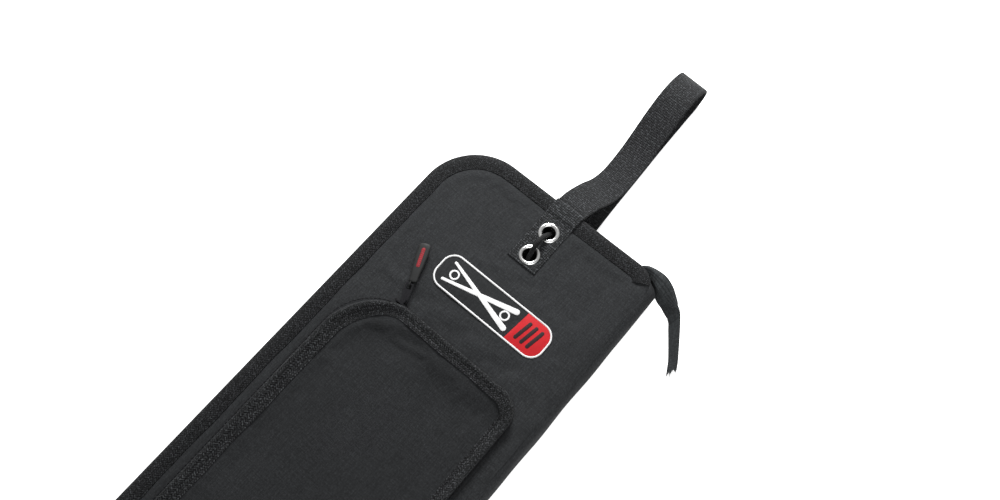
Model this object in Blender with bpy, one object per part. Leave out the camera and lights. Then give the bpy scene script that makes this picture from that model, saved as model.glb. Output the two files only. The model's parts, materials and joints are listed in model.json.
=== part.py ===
"""Drum stick bag: two padded covers that open like a book about a fabric spine.

Frame: metres, +Z up. The bag lies closed on its back cover. The origin is at the
middle of the back cover's outer face, +X points to the spine and +Y to the handle.
"""
import math

import bmesh
import bpy
from mathutils import Matrix, Vector

MM = 0.001
GAP = 0.3 * MM

# Bag outline: the zip runs round three sides, the spine closes the fourth.
TOP_Y = 240 * MM
BOTTOM_Y = -TOP_Y
ZIP_SIDE_X = -94 * MM
COVER_SPINE_X = 88 * MM
CORNER_RADIUS = 46 * MM
BAG_THICKNESS = 24 * MM
HINGE_X = 94.3 * MM
HINGE_Z = BAG_THICKNESS / 2

# Heights in a cover, measured inward from its outer face.
CROWN_DEPTH = 1.0 * MM
SHELL_TOP = 1.8 * MM
FOAM = (2.1 * MM, 3.9 * MM)
LINING = (4.2 * MM, 4.9 * MM)
LAYER_INSET = 1.1 * MM
CROWN_SPINE_X = COVER_SPINE_X - 1.5 * MM

# Binding tape folded over the cover edge.
BINDING_WIDTH = 13 * MM
BINDING_WALL = 0.7 * MM
BINDING_INNER_LEG = (5.2 * MM, 5.9 * MM)
BINDING_END_X = 86 * MM
SPINE_CORNER_RADIUS = 16 * MM
BINDING_END_ANGLE = 30

# Main zip: one tape and one row of teeth on each cover.
ZIP_END_X = 71.5 * MM
ZIP_BOTTOM_END_X = 82 * MM
TAPE_INSET = (2.6 * MM, 3.4 * MM)
TAPE_HEIGHT = (6.2 * MM, 10.2 * MM)
TEETH_INSET = (1.8 * MM, 4.2 * MM)
TEETH_HEIGHT = (10.5 * MM, 11.3 * MM)
ZIP_TAIL_WIDTH = 11 * MM
ZIP_TAIL_THICKNESS = 1.6 * MM
ZIP_TAIL_PIVOT = (86.3 * MM, 242.8 * MM)
ZIP_STOP_LENGTH = 3.7 * MM
ZIP_STOP_TOP_Z = 13.4 * MM

# Spine panel, in two halves that meet at the hinge line.
SPINE_INNER_X = COVER_SPINE_X + GAP
SPINE_BULGE = 5.7 * MM
SPINE_WALL = 1.6 * MM
SPINE_Y = (-238 * MM, TOP_Y - SPINE_CORNER_RADIUS)
SPINE_EDGE_HEIGHT = 0.8 * MM

# Stick pockets: a stitched panel that leaves three channels on each cover.
STICK_POCKET_X = (-76 * MM, 84 * MM)
STICK_POCKET_Y = (-206 * MM, 50 * MM)
STICK_POCKET_HEIGHT = (5.2 * MM, 10.8 * MM)
STICK_PANEL_WALL = 0.8 * MM
STICK_SEAM_WIDTH = 1.0 * MM
STICK_CHANNELS = 3
HEM_LENGTH = 10 * MM
HEM_HEIGHT = (11.1 * MM, 11.7 * MM)

# Eyelet tab with two eyelets, on the front cover only.
TAB_X = 5.5 * MM
TAB_WIDTH = 25 * MM
TAB_Y = (183.2 * MM, 226.4 * MM)
TAB_THICKNESS = 1.0 * MM
TAB_OUTER_HEIGHT = -0.6 * MM
EYELET_Y = {"upper": 214.9 * MM, "lower": 192.7 * MM}
EYELET_FLANGE_RADIUS = 8.1 * MM
EYELET_BORE_RADIUS = 5.2 * MM
EYELET_BARREL_RADIUS = 5.7 * MM
EYELET_FLANGE = 1.0 * MM
EYELET_END_HEIGHT = 5.8 * MM
WASHER_HEIGHT = (5.2 * MM, 5.7 * MM)

# Tom cord: it bridges the eyelets outside and hangs as a knotted loop inside.
CORD_RADIUS = 1.8 * MM
CORD_POINT_SPACING = 4 * MM
KNOT_CENTRE = (12.5 * MM, 91.0 * MM, 8.2 * MM)
KNOT_RADII = (8.0 * MM, 6.0 * MM, 2.9 * MM)

# Handle: one webbing loop, a leg on each cover.
HANDLE_WIDTH = 25 * MM
HANDLE_THICKNESS = 1.6 * MM
HANDLE_START_Y = TOP_Y + 1 * MM

# Accessory pocket on the front cover.
POCKET_X = (-72.5 * MM, 73 * MM)
POCKET_Y = (-200 * MM, 103 * MM)
POCKET_RADIUS_ZIP_TOP = 40 * MM
POCKET_RADIUS_SPINE_TOP = 17 * MM
POCKET_RADIUS_BOTTOM = 30 * MM
POCKET_WALL = 1.2 * MM
POCKET_FLOOR_Z = BAG_THICKNESS + GAP
POCKET_RIM_Z = 32.7 * MM
POCKET_TOP_Z = 36 * MM
POCKET_OVERHANG = 1.5 * MM
POCKET_BINDING_WIDTH = 11 * MM
POCKET_ZIP_X = (-44.7 * MM, 55.5 * MM)
POCKET_ZIP_Z = 28.5 * MM
POCKET_TAPE_Y = (101.8 * MM, 102.6 * MM)
POCKET_TEETH_Y = (101.0 * MM, 103.4 * MM)

# Sliders and their pulls.
SLIDER_HALF_LENGTH = 5 * MM
SLIDER_HALF_HEIGHT = 3.4 * MM
SLIDER_PLATE = 1.0 * MM
SLIDER_POST = (1.5 * MM, 0.4 * MM)
MAIN_SLIDER_X = 64 * MM
MAIN_PIVOT_STAND_OFF = 2.2 * MM
POCKET_SLIDER_X = -39.2 * MM
POCKET_PIVOT_STAND_OFF = 2.9 * MM
POCKET_PULL_ANGLE = math.radians(23.1)
PULL_TAB_WIDTH = 6 * MM
PULL_TAB_THICKNESS = 1.2 * MM
PULL_TAB_END = 13.3 * MM
PULL_TAB_EYE_RADIUS = 2.5 * MM
PULL_WINDOW_START = 8.7 * MM
PULL_WINDOW_WIDTH = 3.6 * MM
PULL_BAR = 1.2 * MM
MAIN_LUG_WIDTH = 4 * MM
MAIN_LUG_HEIGHT = 2.4 * MM
MAIN_LUG_BORE_RADIUS = 1.1 * MM
MAIN_PULL_WINDOW = (0.5 * MM, 3.0 * MM)
MAIN_PULL_WINDOW_WIDTH = 3 * MM
POCKET_LUG_WIDTH = 3.2 * MM
POCKET_LUG_HEIGHT = 3.8 * MM
POCKET_LUG_SLOT = 1.8 * MM
POCKET_PIN_RADIUS = 0.8 * MM
POCKET_EYE_BORE_RADIUS = 1.15 * MM
PULLER_JOINT = 12.7 * MM
PULLER_BODY = (15.7 * MM, 45.3 * MM)
PULLER_WIDTH = 9 * MM
PULLER_THICKNESS = 3.2 * MM
PULLER_TIP_RADIUS = 3.5 * MM
PULLER_NECK_RADIUS = 2 * MM
PULLER_CHAMFER = 0.5 * MM
PULLER_RING = (1.2 * MM, 2.3 * MM)
PULLER_RING_WIDTH = 2.4 * MM
PULLER_NECK_HEIGHT = 2.2 * MM
INSERT_SPAN = (20 * MM, 40 * MM)
INSERT_WIDTH = 4.5 * MM
INSERT_DEPTH = 0.8 * MM
INSERT_PROUD = 0.2 * MM

# Badge on the front cover.
BADGE_CENTRE = (10.6 * MM, 145.8 * MM)
BADGE_SIZE = (98 * MM, 29 * MM)
BADGE_RADIUS = 11 * MM
BADGE_BASE_Z = (24.3 * MM, 25.3 * MM)
BADGE_RAISED_Z = (25.6 * MM, 26.1 * MM)
BADGE_BORDER = 1.8 * MM
BADGE_BORDER_INSET = 0.6 * MM
BADGE_PANEL_LENGTH = 24 * MM
BADGE_PANEL_SLANT = 8 * MM

CORNER_STEPS = 8
ROUND_STEPS = 24
CURVE_STEPS = 24
SPINE_STEPS = 6
CUT_MARGIN = 1 * MM
SIDES = ("back", "front")
FRONT_COVER_NAMES = ("front_", "eyelet_tab", "upper_", "lower_", "tab_seat", "tom_cord",
                     "handle_front_leg", "pocket_", "badge_")

COLOURS = {
    "cover_fabric": ((0.045, 0.047, 0.050), 0.85, 0.0),
    "binding_tape": ((0.035, 0.037, 0.040), 0.80, 0.0),
    "lining_fabric": ((0.020, 0.021, 0.023), 0.80, 0.0),
    "foam": ((0.30, 0.30, 0.31), 0.95, 0.0),
    "webbing": ((0.050, 0.052, 0.056), 0.75, 0.0),
    "zip_tape": ((0.025, 0.026, 0.028), 0.80, 0.0),
    "zip_coil": ((0.030, 0.030, 0.032), 0.40, 0.0),
    "plated_metal": ((0.80, 0.80, 0.79), 0.22, 1.0),
    "black_metal": ((0.020, 0.020, 0.022), 0.30, 0.9),
    "cord": ((0.018, 0.018, 0.019), 0.70, 0.0),
    "puller_rubber": ((0.022, 0.024, 0.024), 0.50, 0.0),
    "red_rubber": ((0.62, 0.02, 0.03), 0.45, 0.0),
    "badge_white": ((0.85, 0.85, 0.85), 0.50, 0.0),
}


# ---------------------------------------------------------------- building blocks
def clear_scene():
    for obj in list(bpy.data.objects):
        bpy.data.objects.remove(obj, do_unlink=True)


def add_material(obj, slot):
    """Give the object a material of its own in the slot's colour."""
    colour, roughness, metallic = COLOURS[slot]
    material = bpy.data.materials.new(f"{obj.name}_{slot}")
    material.use_nodes = True
    shader = material.node_tree.nodes["Principled BSDF"]
    shader.inputs["Base Color"].default_value = (*colour, 1.0)
    shader.inputs["Roughness"].default_value = roughness
    shader.inputs["Metallic"].default_value = metallic
    obj.data.materials.append(material)


def add_solid(name, bm, slot, smooth=False):
    """Close a bmesh into a named object with outward faces."""
    bmesh.ops.recalc_face_normals(bm, faces=bm.faces[:])
    mesh = bpy.data.meshes.new(name)
    bm.to_mesh(mesh)
    bm.free()
    if smooth:
        mesh.shade_smooth()
        mesh.set_sharp_from_angle(angle=math.radians(35))
    obj = bpy.data.objects.new(name, mesh)
    bpy.context.scene.collection.objects.link(obj)
    if slot:
        add_material(obj, slot)
    return obj


def z_of(side, height):
    """World z of a height measured inward from the cover's outer face."""
    return height if side == "back" else BAG_THICKNESS - height


def arc(centre, radius, start, end, steps=CORNER_STEPS):
    """Points from the start to the end angle, in degrees."""
    angles = [math.radians(start + (end - start) * i / steps) for i in range(steps + 1)]
    return [(centre[0] + radius * math.cos(a), centre[1] + radius * math.sin(a)) for a in angles]


def rounded_box(x_span, y_span, radii, inset=0.0):
    """Closed outline with radii for its +X+Y, -X+Y, -X-Y and +X-Y corners."""
    corners = ((1, 1, 0), (0, 1, 90), (0, 0, 180), (1, 0, 270))
    points = []
    for (right, top, start), radius in zip(corners, radii):
        x = x_span[1] - radius if right else x_span[0] + radius
        y = y_span[1] - radius if top else y_span[0] + radius
        points += arc((x, y), radius - inset, start, start + 90)
    return points


def spine_corner(inset, start):
    """The rounded corner at the top of the spine, from the start angle to the top edge."""
    centre = (COVER_SPINE_X - SPINE_CORNER_RADIUS, TOP_Y - SPINE_CORNER_RADIUS)
    return arc(centre, SPINE_CORNER_RADIUS - inset, start, 90)


def cover_outline(inset, spine_x):
    """Closed outline of a cover layer, straight along the spine."""
    spine_top = (spine_x, TOP_Y - SPINE_CORNER_RADIUS - inset)
    return edge_line(inset, [spine_top] + spine_corner(inset, 0), spine_x)


def edge_line(inset, top, bottom_x=BINDING_END_X):
    """The cover's edge from its top points, round the zip side, to the bottom spine end."""
    centre_x = ZIP_SIDE_X + CORNER_RADIUS
    radius = CORNER_RADIUS - inset
    points = list(top)
    points += arc((centre_x, TOP_Y - CORNER_RADIUS), radius, 90, 180)
    points += arc((centre_x, BOTTOM_Y + CORNER_RADIUS), radius, 180, 270)
    points.append((bottom_x, BOTTOM_Y + inset))
    return points


def bridge(bm, first, second, closed=True):
    """Quads between two rows of vertices of equal length."""
    count = len(first) if closed else len(first) - 1
    for i in range(count):
        j = (i + 1) % len(first)
        bm.faces.new((first[i], first[j], second[j], second[i]))


def stacked_solid(name, layers, slot, smooth=False):
    """A solid through closed outlines given as (points, z), capped at both ends."""
    bm = bmesh.new()
    rows = [[bm.verts.new((x, y, z)) for x, y in points] for points, z in layers]
    for first, second in zip(rows, rows[1:]):
        bridge(bm, first, second)
    bm.faces.new(rows[0])
    bm.faces.new(rows[-1])
    return add_solid(name, bm, slot, smooth)


def frame_solid(name, outer, inner, z_span, slot):
    """A flat ring between two outlines with the same number of points."""
    bm = bmesh.new()
    rows = []
    for points, z in ((outer, z_span[0]), (outer, z_span[1]), (inner, z_span[1]), (inner, z_span[0])):
        rows.append([bm.verts.new((x, y, z)) for x, y in points])
    for i in range(4):
        bridge(bm, rows[i], rows[(i + 1) % 4])
    return add_solid(name, bm, slot)


def swept_solid(name, lines, slot):
    """A solid whose long edges are the open lines of 3-D points, in order round its section."""
    bm = bmesh.new()
    rows = [[bm.verts.new(point) for point in line] for line in lines]
    for i in range(len(rows)):
        bridge(bm, rows[i], rows[(i + 1) % len(rows)], closed=False)
    bm.faces.new([row[0] for row in rows])
    bm.faces.new([row[-1] for row in rows])
    return add_solid(name, bm, slot)


def turned_solid(name, centre, profile, slot):
    """A ring turned about a vertical axis from a closed (radius, z) profile."""
    bm = bmesh.new()
    angles = [2 * math.pi * i / ROUND_STEPS for i in range(ROUND_STEPS)]
    rows = []
    for radius, z in profile:
        ring = [(centre[0] + radius * math.cos(a), centre[1] + radius * math.sin(a), z) for a in angles]
        rows.append([bm.verts.new(point) for point in ring])
    for i in range(len(rows)):
        bridge(bm, rows[i], rows[(i + 1) % len(rows)])
    return add_solid(name, bm, slot, smooth=True)


def box_solid(name, x_span, y_span, z_span, slot=None):
    corners = [(x_span[0], y_span[0]), (x_span[1], y_span[0]), (x_span[1], y_span[1]), (x_span[0], y_span[1])]
    return stacked_solid(name, [(corners, z_span[0]), (corners, z_span[1])], slot)


def as_tool(obj):
    """Hide a helper solid that only cuts or joins."""
    obj.hide_render = True
    obj.display_type = "WIRE"
    return obj


def joint_empty(name, place):
    """An empty on a joint's axis, for the pieces that move with it."""
    empty = bpy.data.objects.new(name, None)
    bpy.context.scene.collection.objects.link(empty)
    empty.matrix_world = Matrix.Translation(place)
    return empty


def hang_on(parent, pieces):
    """Parent the pieces without moving them."""
    for piece in pieces:
        piece.parent = parent
        piece.matrix_parent_inverse = parent.matrix_world.inverted()


def combine(target, tool, operation):
    modifier = target.modifiers.new(f"{operation.lower()}_{tool.name}", "BOOLEAN")
    modifier.operation = operation
    modifier.object = as_tool(tool)


def hole_tool(name, centre, radius, z_span):
    circle = arc(centre, radius, 0, 360, ROUND_STEPS)[:-1]
    return stacked_solid(name, [(circle, z_span[0]), (circle, z_span[1])], None)


def ribbon_solid(name, route, width, thickness, slot):
    """A strap along (x, y, z, roll) points; roll turns its width from flat (0) to upright (90)."""
    points = [Vector(point[:3]) for point in route]
    corners = [[], [], [], []]
    for i, (point, station) in enumerate(zip(points, route)):
        ahead = points[min(i + 1, len(points) - 1)]
        behind = points[max(i - 1, 0)]
        along = (ahead - behind).normalized()
        upright = Vector((0, 0, 1)) - along * along.z
        flat = along.cross(Vector((0, 0, 1)))
        if flat.length < 0.2:
            flat = Vector((1, 0, 0))
        roll = math.radians(station[3])
        across = (flat.normalized() * math.cos(roll) + upright * math.sin(roll)).normalized()
        normal = along.cross(across).normalized()
        for k, (a, n) in enumerate(((-1, -1), (1, -1), (1, 1), (-1, 1))):
            corners[k].append(point + across * (a * width / 2) + normal * (n * thickness / 2))
    return swept_solid(name, corners, slot)


def smooth_line(points, spacing):
    """Evenly spaced points on a Catmull-Rom curve through the given points."""
    knots = [Vector(p) for p in points]
    knots = [knots[0] * 2 - knots[1]] + knots + [knots[-1] * 2 - knots[-2]]
    fine = []
    for a, b, c, d in zip(knots, knots[1:], knots[2:], knots[3:]):
        for i in range(CURVE_STEPS):
            t = i / CURVE_STEPS
            fine.append(0.5 * (2 * b + (c - a) * t + (2 * a - 5 * b + 4 * c - d) * t * t
                               + (3 * b - a - 3 * c + d) * t ** 3))
    fine.append(knots[-2])
    travelled = [0.0]
    for first, second in zip(fine, fine[1:]):
        travelled.append(travelled[-1] + (second - first).length)
    count = max(2, round(travelled[-1] / spacing))
    result, k = [], 0
    for i in range(count + 1):
        target = travelled[-1] * i / count
        while k < len(fine) - 2 and travelled[k + 1] < target:
            k += 1
        share = (target - travelled[k]) / (travelled[k + 1] - travelled[k])
        result.append(fine[k].lerp(fine[k + 1], share))
    return result


def tube(name, points, radius, slot):
    """A round cord with filled ends along the points."""
    curve = bpy.data.curves.new(name, "CURVE")
    curve.dimensions = "3D"
    curve.bevel_depth = radius
    curve.bevel_resolution = 2
    curve.use_fill_caps = True
    spline = curve.splines.new("POLY")
    spline.points.add(len(points) - 1)
    for spline_point, point in zip(spline.points, points):
        spline_point.co = (*point, 1.0)
    obj = bpy.data.objects.new(name, curve)
    bpy.context.scene.collection.objects.link(obj)
    add_material(obj, slot)
    return obj


# ---------------------------------------------------------------- covers
def make_cover_layers(side):
    """Shell, foam and lining of one cover."""
    rim = cover_outline(LAYER_INSET, COVER_SPINE_X)
    crown = cover_outline(BINDING_WIDTH + GAP, CROWN_SPINE_X)
    shell = stacked_solid(f"{side}_shell", [
        (crown, z_of(side, 0.0)),
        (crown, z_of(side, CROWN_DEPTH)),
        (rim, z_of(side, CROWN_DEPTH)),
        (rim, z_of(side, SHELL_TOP)),
    ], "cover_fabric")
    layers = [shell]
    for name, heights, slot in (("foam", FOAM, "foam"), ("lining", LINING, "lining_fabric")):
        layers.append(stacked_solid(f"{side}_{name}", [(rim, z_of(side, h)) for h in heights], slot))
    return layers


def cut_eyelet_holes(layers):
    """Holes through the front cover, and a shallow seat in its shell for the tab."""
    reach = (z_of("front", LINING[1] + CUT_MARGIN), z_of("front", -CUT_MARGIN))
    for place, y in EYELET_Y.items():
        tool = hole_tool(f"{place}_hole_tool", (TAB_X, y), EYELET_BARREL_RADIUS + GAP, reach)
        for layer in layers:
            combine(layer, tool, "DIFFERENCE")
    depth = TAB_OUTER_HEIGHT + TAB_THICKNESS + GAP
    seat = box_solid(
        "tab_seat_tool",
        (TAB_X - TAB_WIDTH / 2 - GAP, TAB_X + TAB_WIDTH / 2 + GAP),
        (TAB_Y[0] - GAP, TAB_Y[1] + CUT_MARGIN),
        (z_of("front", depth), z_of("front", -CUT_MARGIN)),
    )
    combine(layers[0], seat, "DIFFERENCE")


def make_binding(side):
    """Tape folded over the edge: an outer leg, the edge itself and an inner leg."""
    low, high = 0.0, BINDING_INNER_LEG[1]
    section = [
        (BINDING_WIDTH, low), (0.6 * MM, low), (0.0, 0.6 * MM), (0.0, high - 0.6 * MM), (0.6 * MM, high),
        (BINDING_WIDTH, high), (BINDING_WIDTH, BINDING_INNER_LEG[0]),
        (BINDING_WALL, BINDING_INNER_LEG[0]), (BINDING_WALL, BINDING_WALL), (BINDING_WIDTH, BINDING_WALL),
    ]
    lines = []
    for inset, height in section:
        line = edge_line(inset, spine_corner(inset, BINDING_END_ANGLE))
        lines.append([(x, y, z_of(side, height)) for x, y in line])
    swept_solid(f"{side}_binding", lines, "binding_tape")


def edge_bar(name, side, insets, heights, slot):
    """A plain bar between two insets and two heights along the zipped edge."""
    near, far = insets
    low, high = heights
    section = [(near, low), (far, low), (far, high), (near, high)]
    lines = []
    for inset, height in section:
        line = edge_line(inset, [(ZIP_END_X, TOP_Y - inset)], ZIP_BOTTOM_END_X)
        lines.append([(x, y, z_of(side, height)) for x, y in line])
    swept_solid(name, lines, slot)


def make_spine_half(side):
    """A quarter-round wall from the cover's edge to the hinge line."""
    reach = HINGE_Z - GAP - SPINE_EDGE_HEIGHT
    angles = [math.radians(90 * i / SPINE_STEPS) for i in range(SPINE_STEPS + 1)]

    def wall(bulge, rise):
        return [(SPINE_INNER_X + bulge * math.sin(a), HINGE_Z - GAP - rise * math.cos(a)) for a in angles]

    outer = wall(SPINE_BULGE, reach)
    inner = wall(SPINE_BULGE - SPINE_WALL, reach - SPINE_WALL)
    section = outer + inner[::-1]
    lines = [[(x, y, z_of(side, h)) for y in SPINE_Y] for x, h in section]
    swept_solid(f"{side}_spine_half", lines, "cover_fabric")


def channel_spans():
    """X span of each stick channel between its seams."""
    low, high = STICK_POCKET_X
    pitch = (high - low - STICK_SEAM_WIDTH) / STICK_CHANNELS
    return [(low + STICK_SEAM_WIDTH + i * pitch, low + (i + 1) * pitch) for i in range(STICK_CHANNELS)]


def make_stick_pocket(side):
    """A panel held off the lining by its seams, open at the top, with a hem over its mouth."""
    heights = STICK_POCKET_HEIGHT
    z_span = sorted(z_of(side, h) for h in heights)
    pocket = box_solid(f"{side}_stick_pocket", STICK_POCKET_X, STICK_POCKET_Y, z_span, "lining_fabric")
    channel_z = sorted((z_of(side, heights[0] - CUT_MARGIN), z_of(side, heights[1] - STICK_PANEL_WALL)))
    channel_y = (STICK_POCKET_Y[0] + STICK_SEAM_WIDTH, STICK_POCKET_Y[1] + CUT_MARGIN)
    for i, span in enumerate(channel_spans()):
        combine(pocket, box_solid(f"{side}_channel_tool_{i + 1}", span, channel_y, channel_z), "DIFFERENCE")
    hem_y = (STICK_POCKET_Y[1] - HEM_LENGTH, STICK_POCKET_Y[1])
    hem_z = sorted(z_of(side, h) for h in HEM_HEIGHT)
    box_solid(f"{side}_stick_pocket_hem", STICK_POCKET_X, hem_y, hem_z, "binding_tape")


def make_eyelets():
    """Webbing tab, two flanged eyelets through the front cover and their washers."""
    outer = TAB_OUTER_HEIGHT
    tab_z = (z_of("front", outer + TAB_THICKNESS), z_of("front", outer))
    tab_x = (TAB_X - TAB_WIDTH / 2, TAB_X + TAB_WIDTH / 2)
    tab = box_solid("eyelet_tab", tab_x, TAB_Y, tab_z, "webbing")
    for place, y in EYELET_Y.items():
        centre = (TAB_X, y)
        combine(tab, hole_tool(f"{place}_flange_tool", centre, EYELET_FLANGE_RADIUS + GAP,
                               (tab_z[0] - CUT_MARGIN, tab_z[1] + CUT_MARGIN)), "DIFFERENCE")
        profile = [
            (EYELET_BORE_RADIUS, outer), (EYELET_FLANGE_RADIUS - 0.4 * MM, outer),
            (EYELET_FLANGE_RADIUS, outer + 0.4 * MM), (EYELET_FLANGE_RADIUS, outer + EYELET_FLANGE),
            (EYELET_BARREL_RADIUS, outer + EYELET_FLANGE), (EYELET_BARREL_RADIUS, EYELET_END_HEIGHT),
            (EYELET_BORE_RADIUS, EYELET_END_HEIGHT),
        ]
        turned_solid(f"{place}_eyelet", centre, [(r, z_of("front", h)) for r, h in profile], "plated_metal")
        inner = EYELET_BARREL_RADIUS + GAP
        washer = [(inner, WASHER_HEIGHT[0]), (EYELET_FLANGE_RADIUS, WASHER_HEIGHT[0]),
                  (EYELET_FLANGE_RADIUS, WASHER_HEIGHT[1]), (inner, WASHER_HEIGHT[1])]
        turned_solid(f"{place}_washer", centre, [(r, z_of("front", h)) for r, h in washer], "plated_metal")


def tom_cord_route():
    """Points in mm, with heights inward from the front cover's face: from the knot inside,
    out through the lower eyelet, over to the upper one, in again and back to the knot."""
    route = [
        (6.4, 98.0, 7.8), (2.2, 108.0, 7.3), (-0.6, 122.0, 7.2), (-0.6, 140.0, 7.4), (1.8, 156.0, 8.4),
        (4.6, 169.0, 9.9), (5.5, 176.0, 10.5), (5.5, 182.2, 10.5), (5.5, 187.0, 9.2), (5.5, 190.6, 6.0),
        (5.5, 193.7, 1.3), (5.5, 196.8, -3.4), (5.5, 201.1, -6.8), (5.5, 206.5, -6.8), (5.5, 210.8, -3.4),
        (5.5, 213.9, 1.3), (5.5, 217.0, 6.0), (5.5, 220.6, 9.2), (5.5, 225.2, 10.4), (8.4, 230.9, 10.4),
        (15.0, 233.4, 10.4), (21.6, 230.9, 10.3), (24.4, 225.0, 10.1), (24.7, 214.0, 9.3), (25.2, 196.0, 7.9),
        (25.6, 176.0, 7.2), (26.2, 154.0, 7.2), (26.0, 132.0, 7.2), (24.6, 116.0, 7.2), (22.2, 105.0, 7.4),
        (18.6, 98.0, 7.8),
    ]
    return [(x * MM, y * MM, z_of("front", height * MM)) for x, y, height in route]


def make_tom_cord():
    tube("tom_cord", smooth_line(tom_cord_route(), CORD_POINT_SPACING), CORD_RADIUS, "cord")
    bm = bmesh.new()
    bmesh.ops.create_uvsphere(bm, u_segments=14, v_segments=8, radius=1.0)
    x, y, height = KNOT_CENTRE
    place = Matrix.Translation((x, y, z_of("front", height)))
    bmesh.ops.transform(bm, matrix=place @ Matrix.Diagonal((*KNOT_RADII, 1.0)), verts=bm.verts)
    add_solid("tom_cord_knot", bm, "cord", smooth=True)


def make_cover(side):
    layers = make_cover_layers(side)
    if side == "front":
        cut_eyelet_holes(layers)
    make_binding(side)
    edge_bar(f"{side}_zip_tape", side, TAPE_INSET, TAPE_HEIGHT, "zip_tape")
    edge_bar(f"{side}_zip_teeth", side, TEETH_INSET, TEETH_HEIGHT, "zip_coil")
    make_spine_half(side)
    make_stick_pocket(side)


# ---------------------------------------------------------------- handle and zip ends
def make_handle():
    """The loop as two legs that meet at its far end: each is sewn to one cover's top edge."""
    front = [
        (6.0, 0.0, 20.6), (6.4, 8, 20.0), (8.5, 20, 15.6), (11.0, 33, 8.0), (12.4, 46, 3.4), (12.4, 60, 2.9),
        (11.6, 76, 4.6), (10.6, 92, 9.6), (9.8, 108, 16.4), (9.6, 122, 21.4), (9.8, 134, 22.6),
        (10.2, 143.5, 20.6), (10.4, 149.2, 16.6), (10.5, 150.6, 13.0),
    ]
    rear = [
        (15.0, 0.0, 3.4), (14.7, 8, 2.6), (14.0, 18, 1.2), (13.2, 34, 0.9), (12.4, 60, 0.9), (11.2, 92, 0.9),
        (10.6, 122, 0.9), (10.5, 137, 1.5), (10.5, 145.5, 4.2), (10.5, 149.6, 8.4), (10.5, 150.6, 12.1),
    ]
    for name, leg in (("handle_front_leg", front), ("handle_rear_leg", rear)):
        route = [(x * MM, HANDLE_START_Y + y * MM, z * MM, 0.0) for x, y, z in leg]
        ribbon_solid(name, route, HANDLE_WIDTH, HANDLE_THICKNESS, "webbing")


def make_zip_ends():
    """The tape's loose tail at the top of the spine and the stop at the bottom of the chain.

    The tail's root stays between the covers; the rest swings about the upright line between them.
    """
    root = [(75.0, 237.0, 12.0, 90), (79.5, 238.4, 12.0, 90), (85.6, 242.4, 12.0, 90)]
    tail = [
        (87.0, 243.2, 12.0, 88), (92.5, 244.8, 11.8, 80), (100.0, 243.4, 11.0, 66), (107.0, 239.0, 9.8, 52),
        (113.5, 231.8, 8.2, 40), (119.0, 222.8, 6.2, 30), (124.5, 213.0, 4.4, 20), (129.5, 204.0, 2.8, 10),
        (134.0, 195.6, 1.6, 4),
    ]
    for name, points in (("zip_tail_root", root), ("zip_tail", tail)):
        route = [(x * MM, y * MM, z * MM, roll) for x, y, z, roll in points]
        ribbon_solid(name, route, ZIP_TAIL_WIDTH, ZIP_TAIL_THICKNESS, "zip_tape")
    swing = joint_empty("tail_swing_axis", (*ZIP_TAIL_PIVOT, HINGE_Z))
    hang_on(swing, [bpy.data.objects["zip_tail"]])
    stop_y = (BOTTOM_Y + TEETH_INSET[0], BOTTOM_Y + TEETH_INSET[1])
    stop_x = (ZIP_BOTTOM_END_X + GAP, ZIP_BOTTOM_END_X + GAP + ZIP_STOP_LENGTH)
    box_solid("zip_bottom_stop", stop_x, stop_y, (TAPE_HEIGHT[1], ZIP_STOP_TOP_Z), "black_metal")


# ---------------------------------------------------------------- accessory pocket
def pocket_outline(inset):
    radii = (POCKET_RADIUS_SPINE_TOP, POCKET_RADIUS_ZIP_TOP, POCKET_RADIUS_BOTTOM, POCKET_RADIUS_BOTTOM)
    return rounded_box(POCKET_X, POCKET_Y, radii, inset)


def pocket_wall_line(inset):
    """The gusset's line from the left end of the zip, round the bottom, to its right end."""
    left = (POCKET_X[0] + POCKET_RADIUS_ZIP_TOP, POCKET_Y[1] - POCKET_RADIUS_ZIP_TOP)
    right = (POCKET_X[1] - POCKET_RADIUS_SPINE_TOP, POCKET_Y[1] - POCKET_RADIUS_SPINE_TOP)
    bottom_y = POCKET_Y[0] + POCKET_RADIUS_BOTTOM
    zip_angle = math.degrees(math.asin((left[0] - POCKET_ZIP_X[0] + 2 * GAP) / POCKET_RADIUS_ZIP_TOP))
    points = arc(left, POCKET_RADIUS_ZIP_TOP - inset, 90 + zip_angle, 180)
    points += arc((POCKET_X[0] + POCKET_RADIUS_BOTTOM, bottom_y), POCKET_RADIUS_BOTTOM - inset, 180, 270)
    points += arc((POCKET_X[1] - POCKET_RADIUS_BOTTOM, bottom_y), POCKET_RADIUS_BOTTOM - inset, 270, 360)
    points += arc(right, POCKET_RADIUS_SPINE_TOP - inset, 0, 90)
    return points


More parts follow.
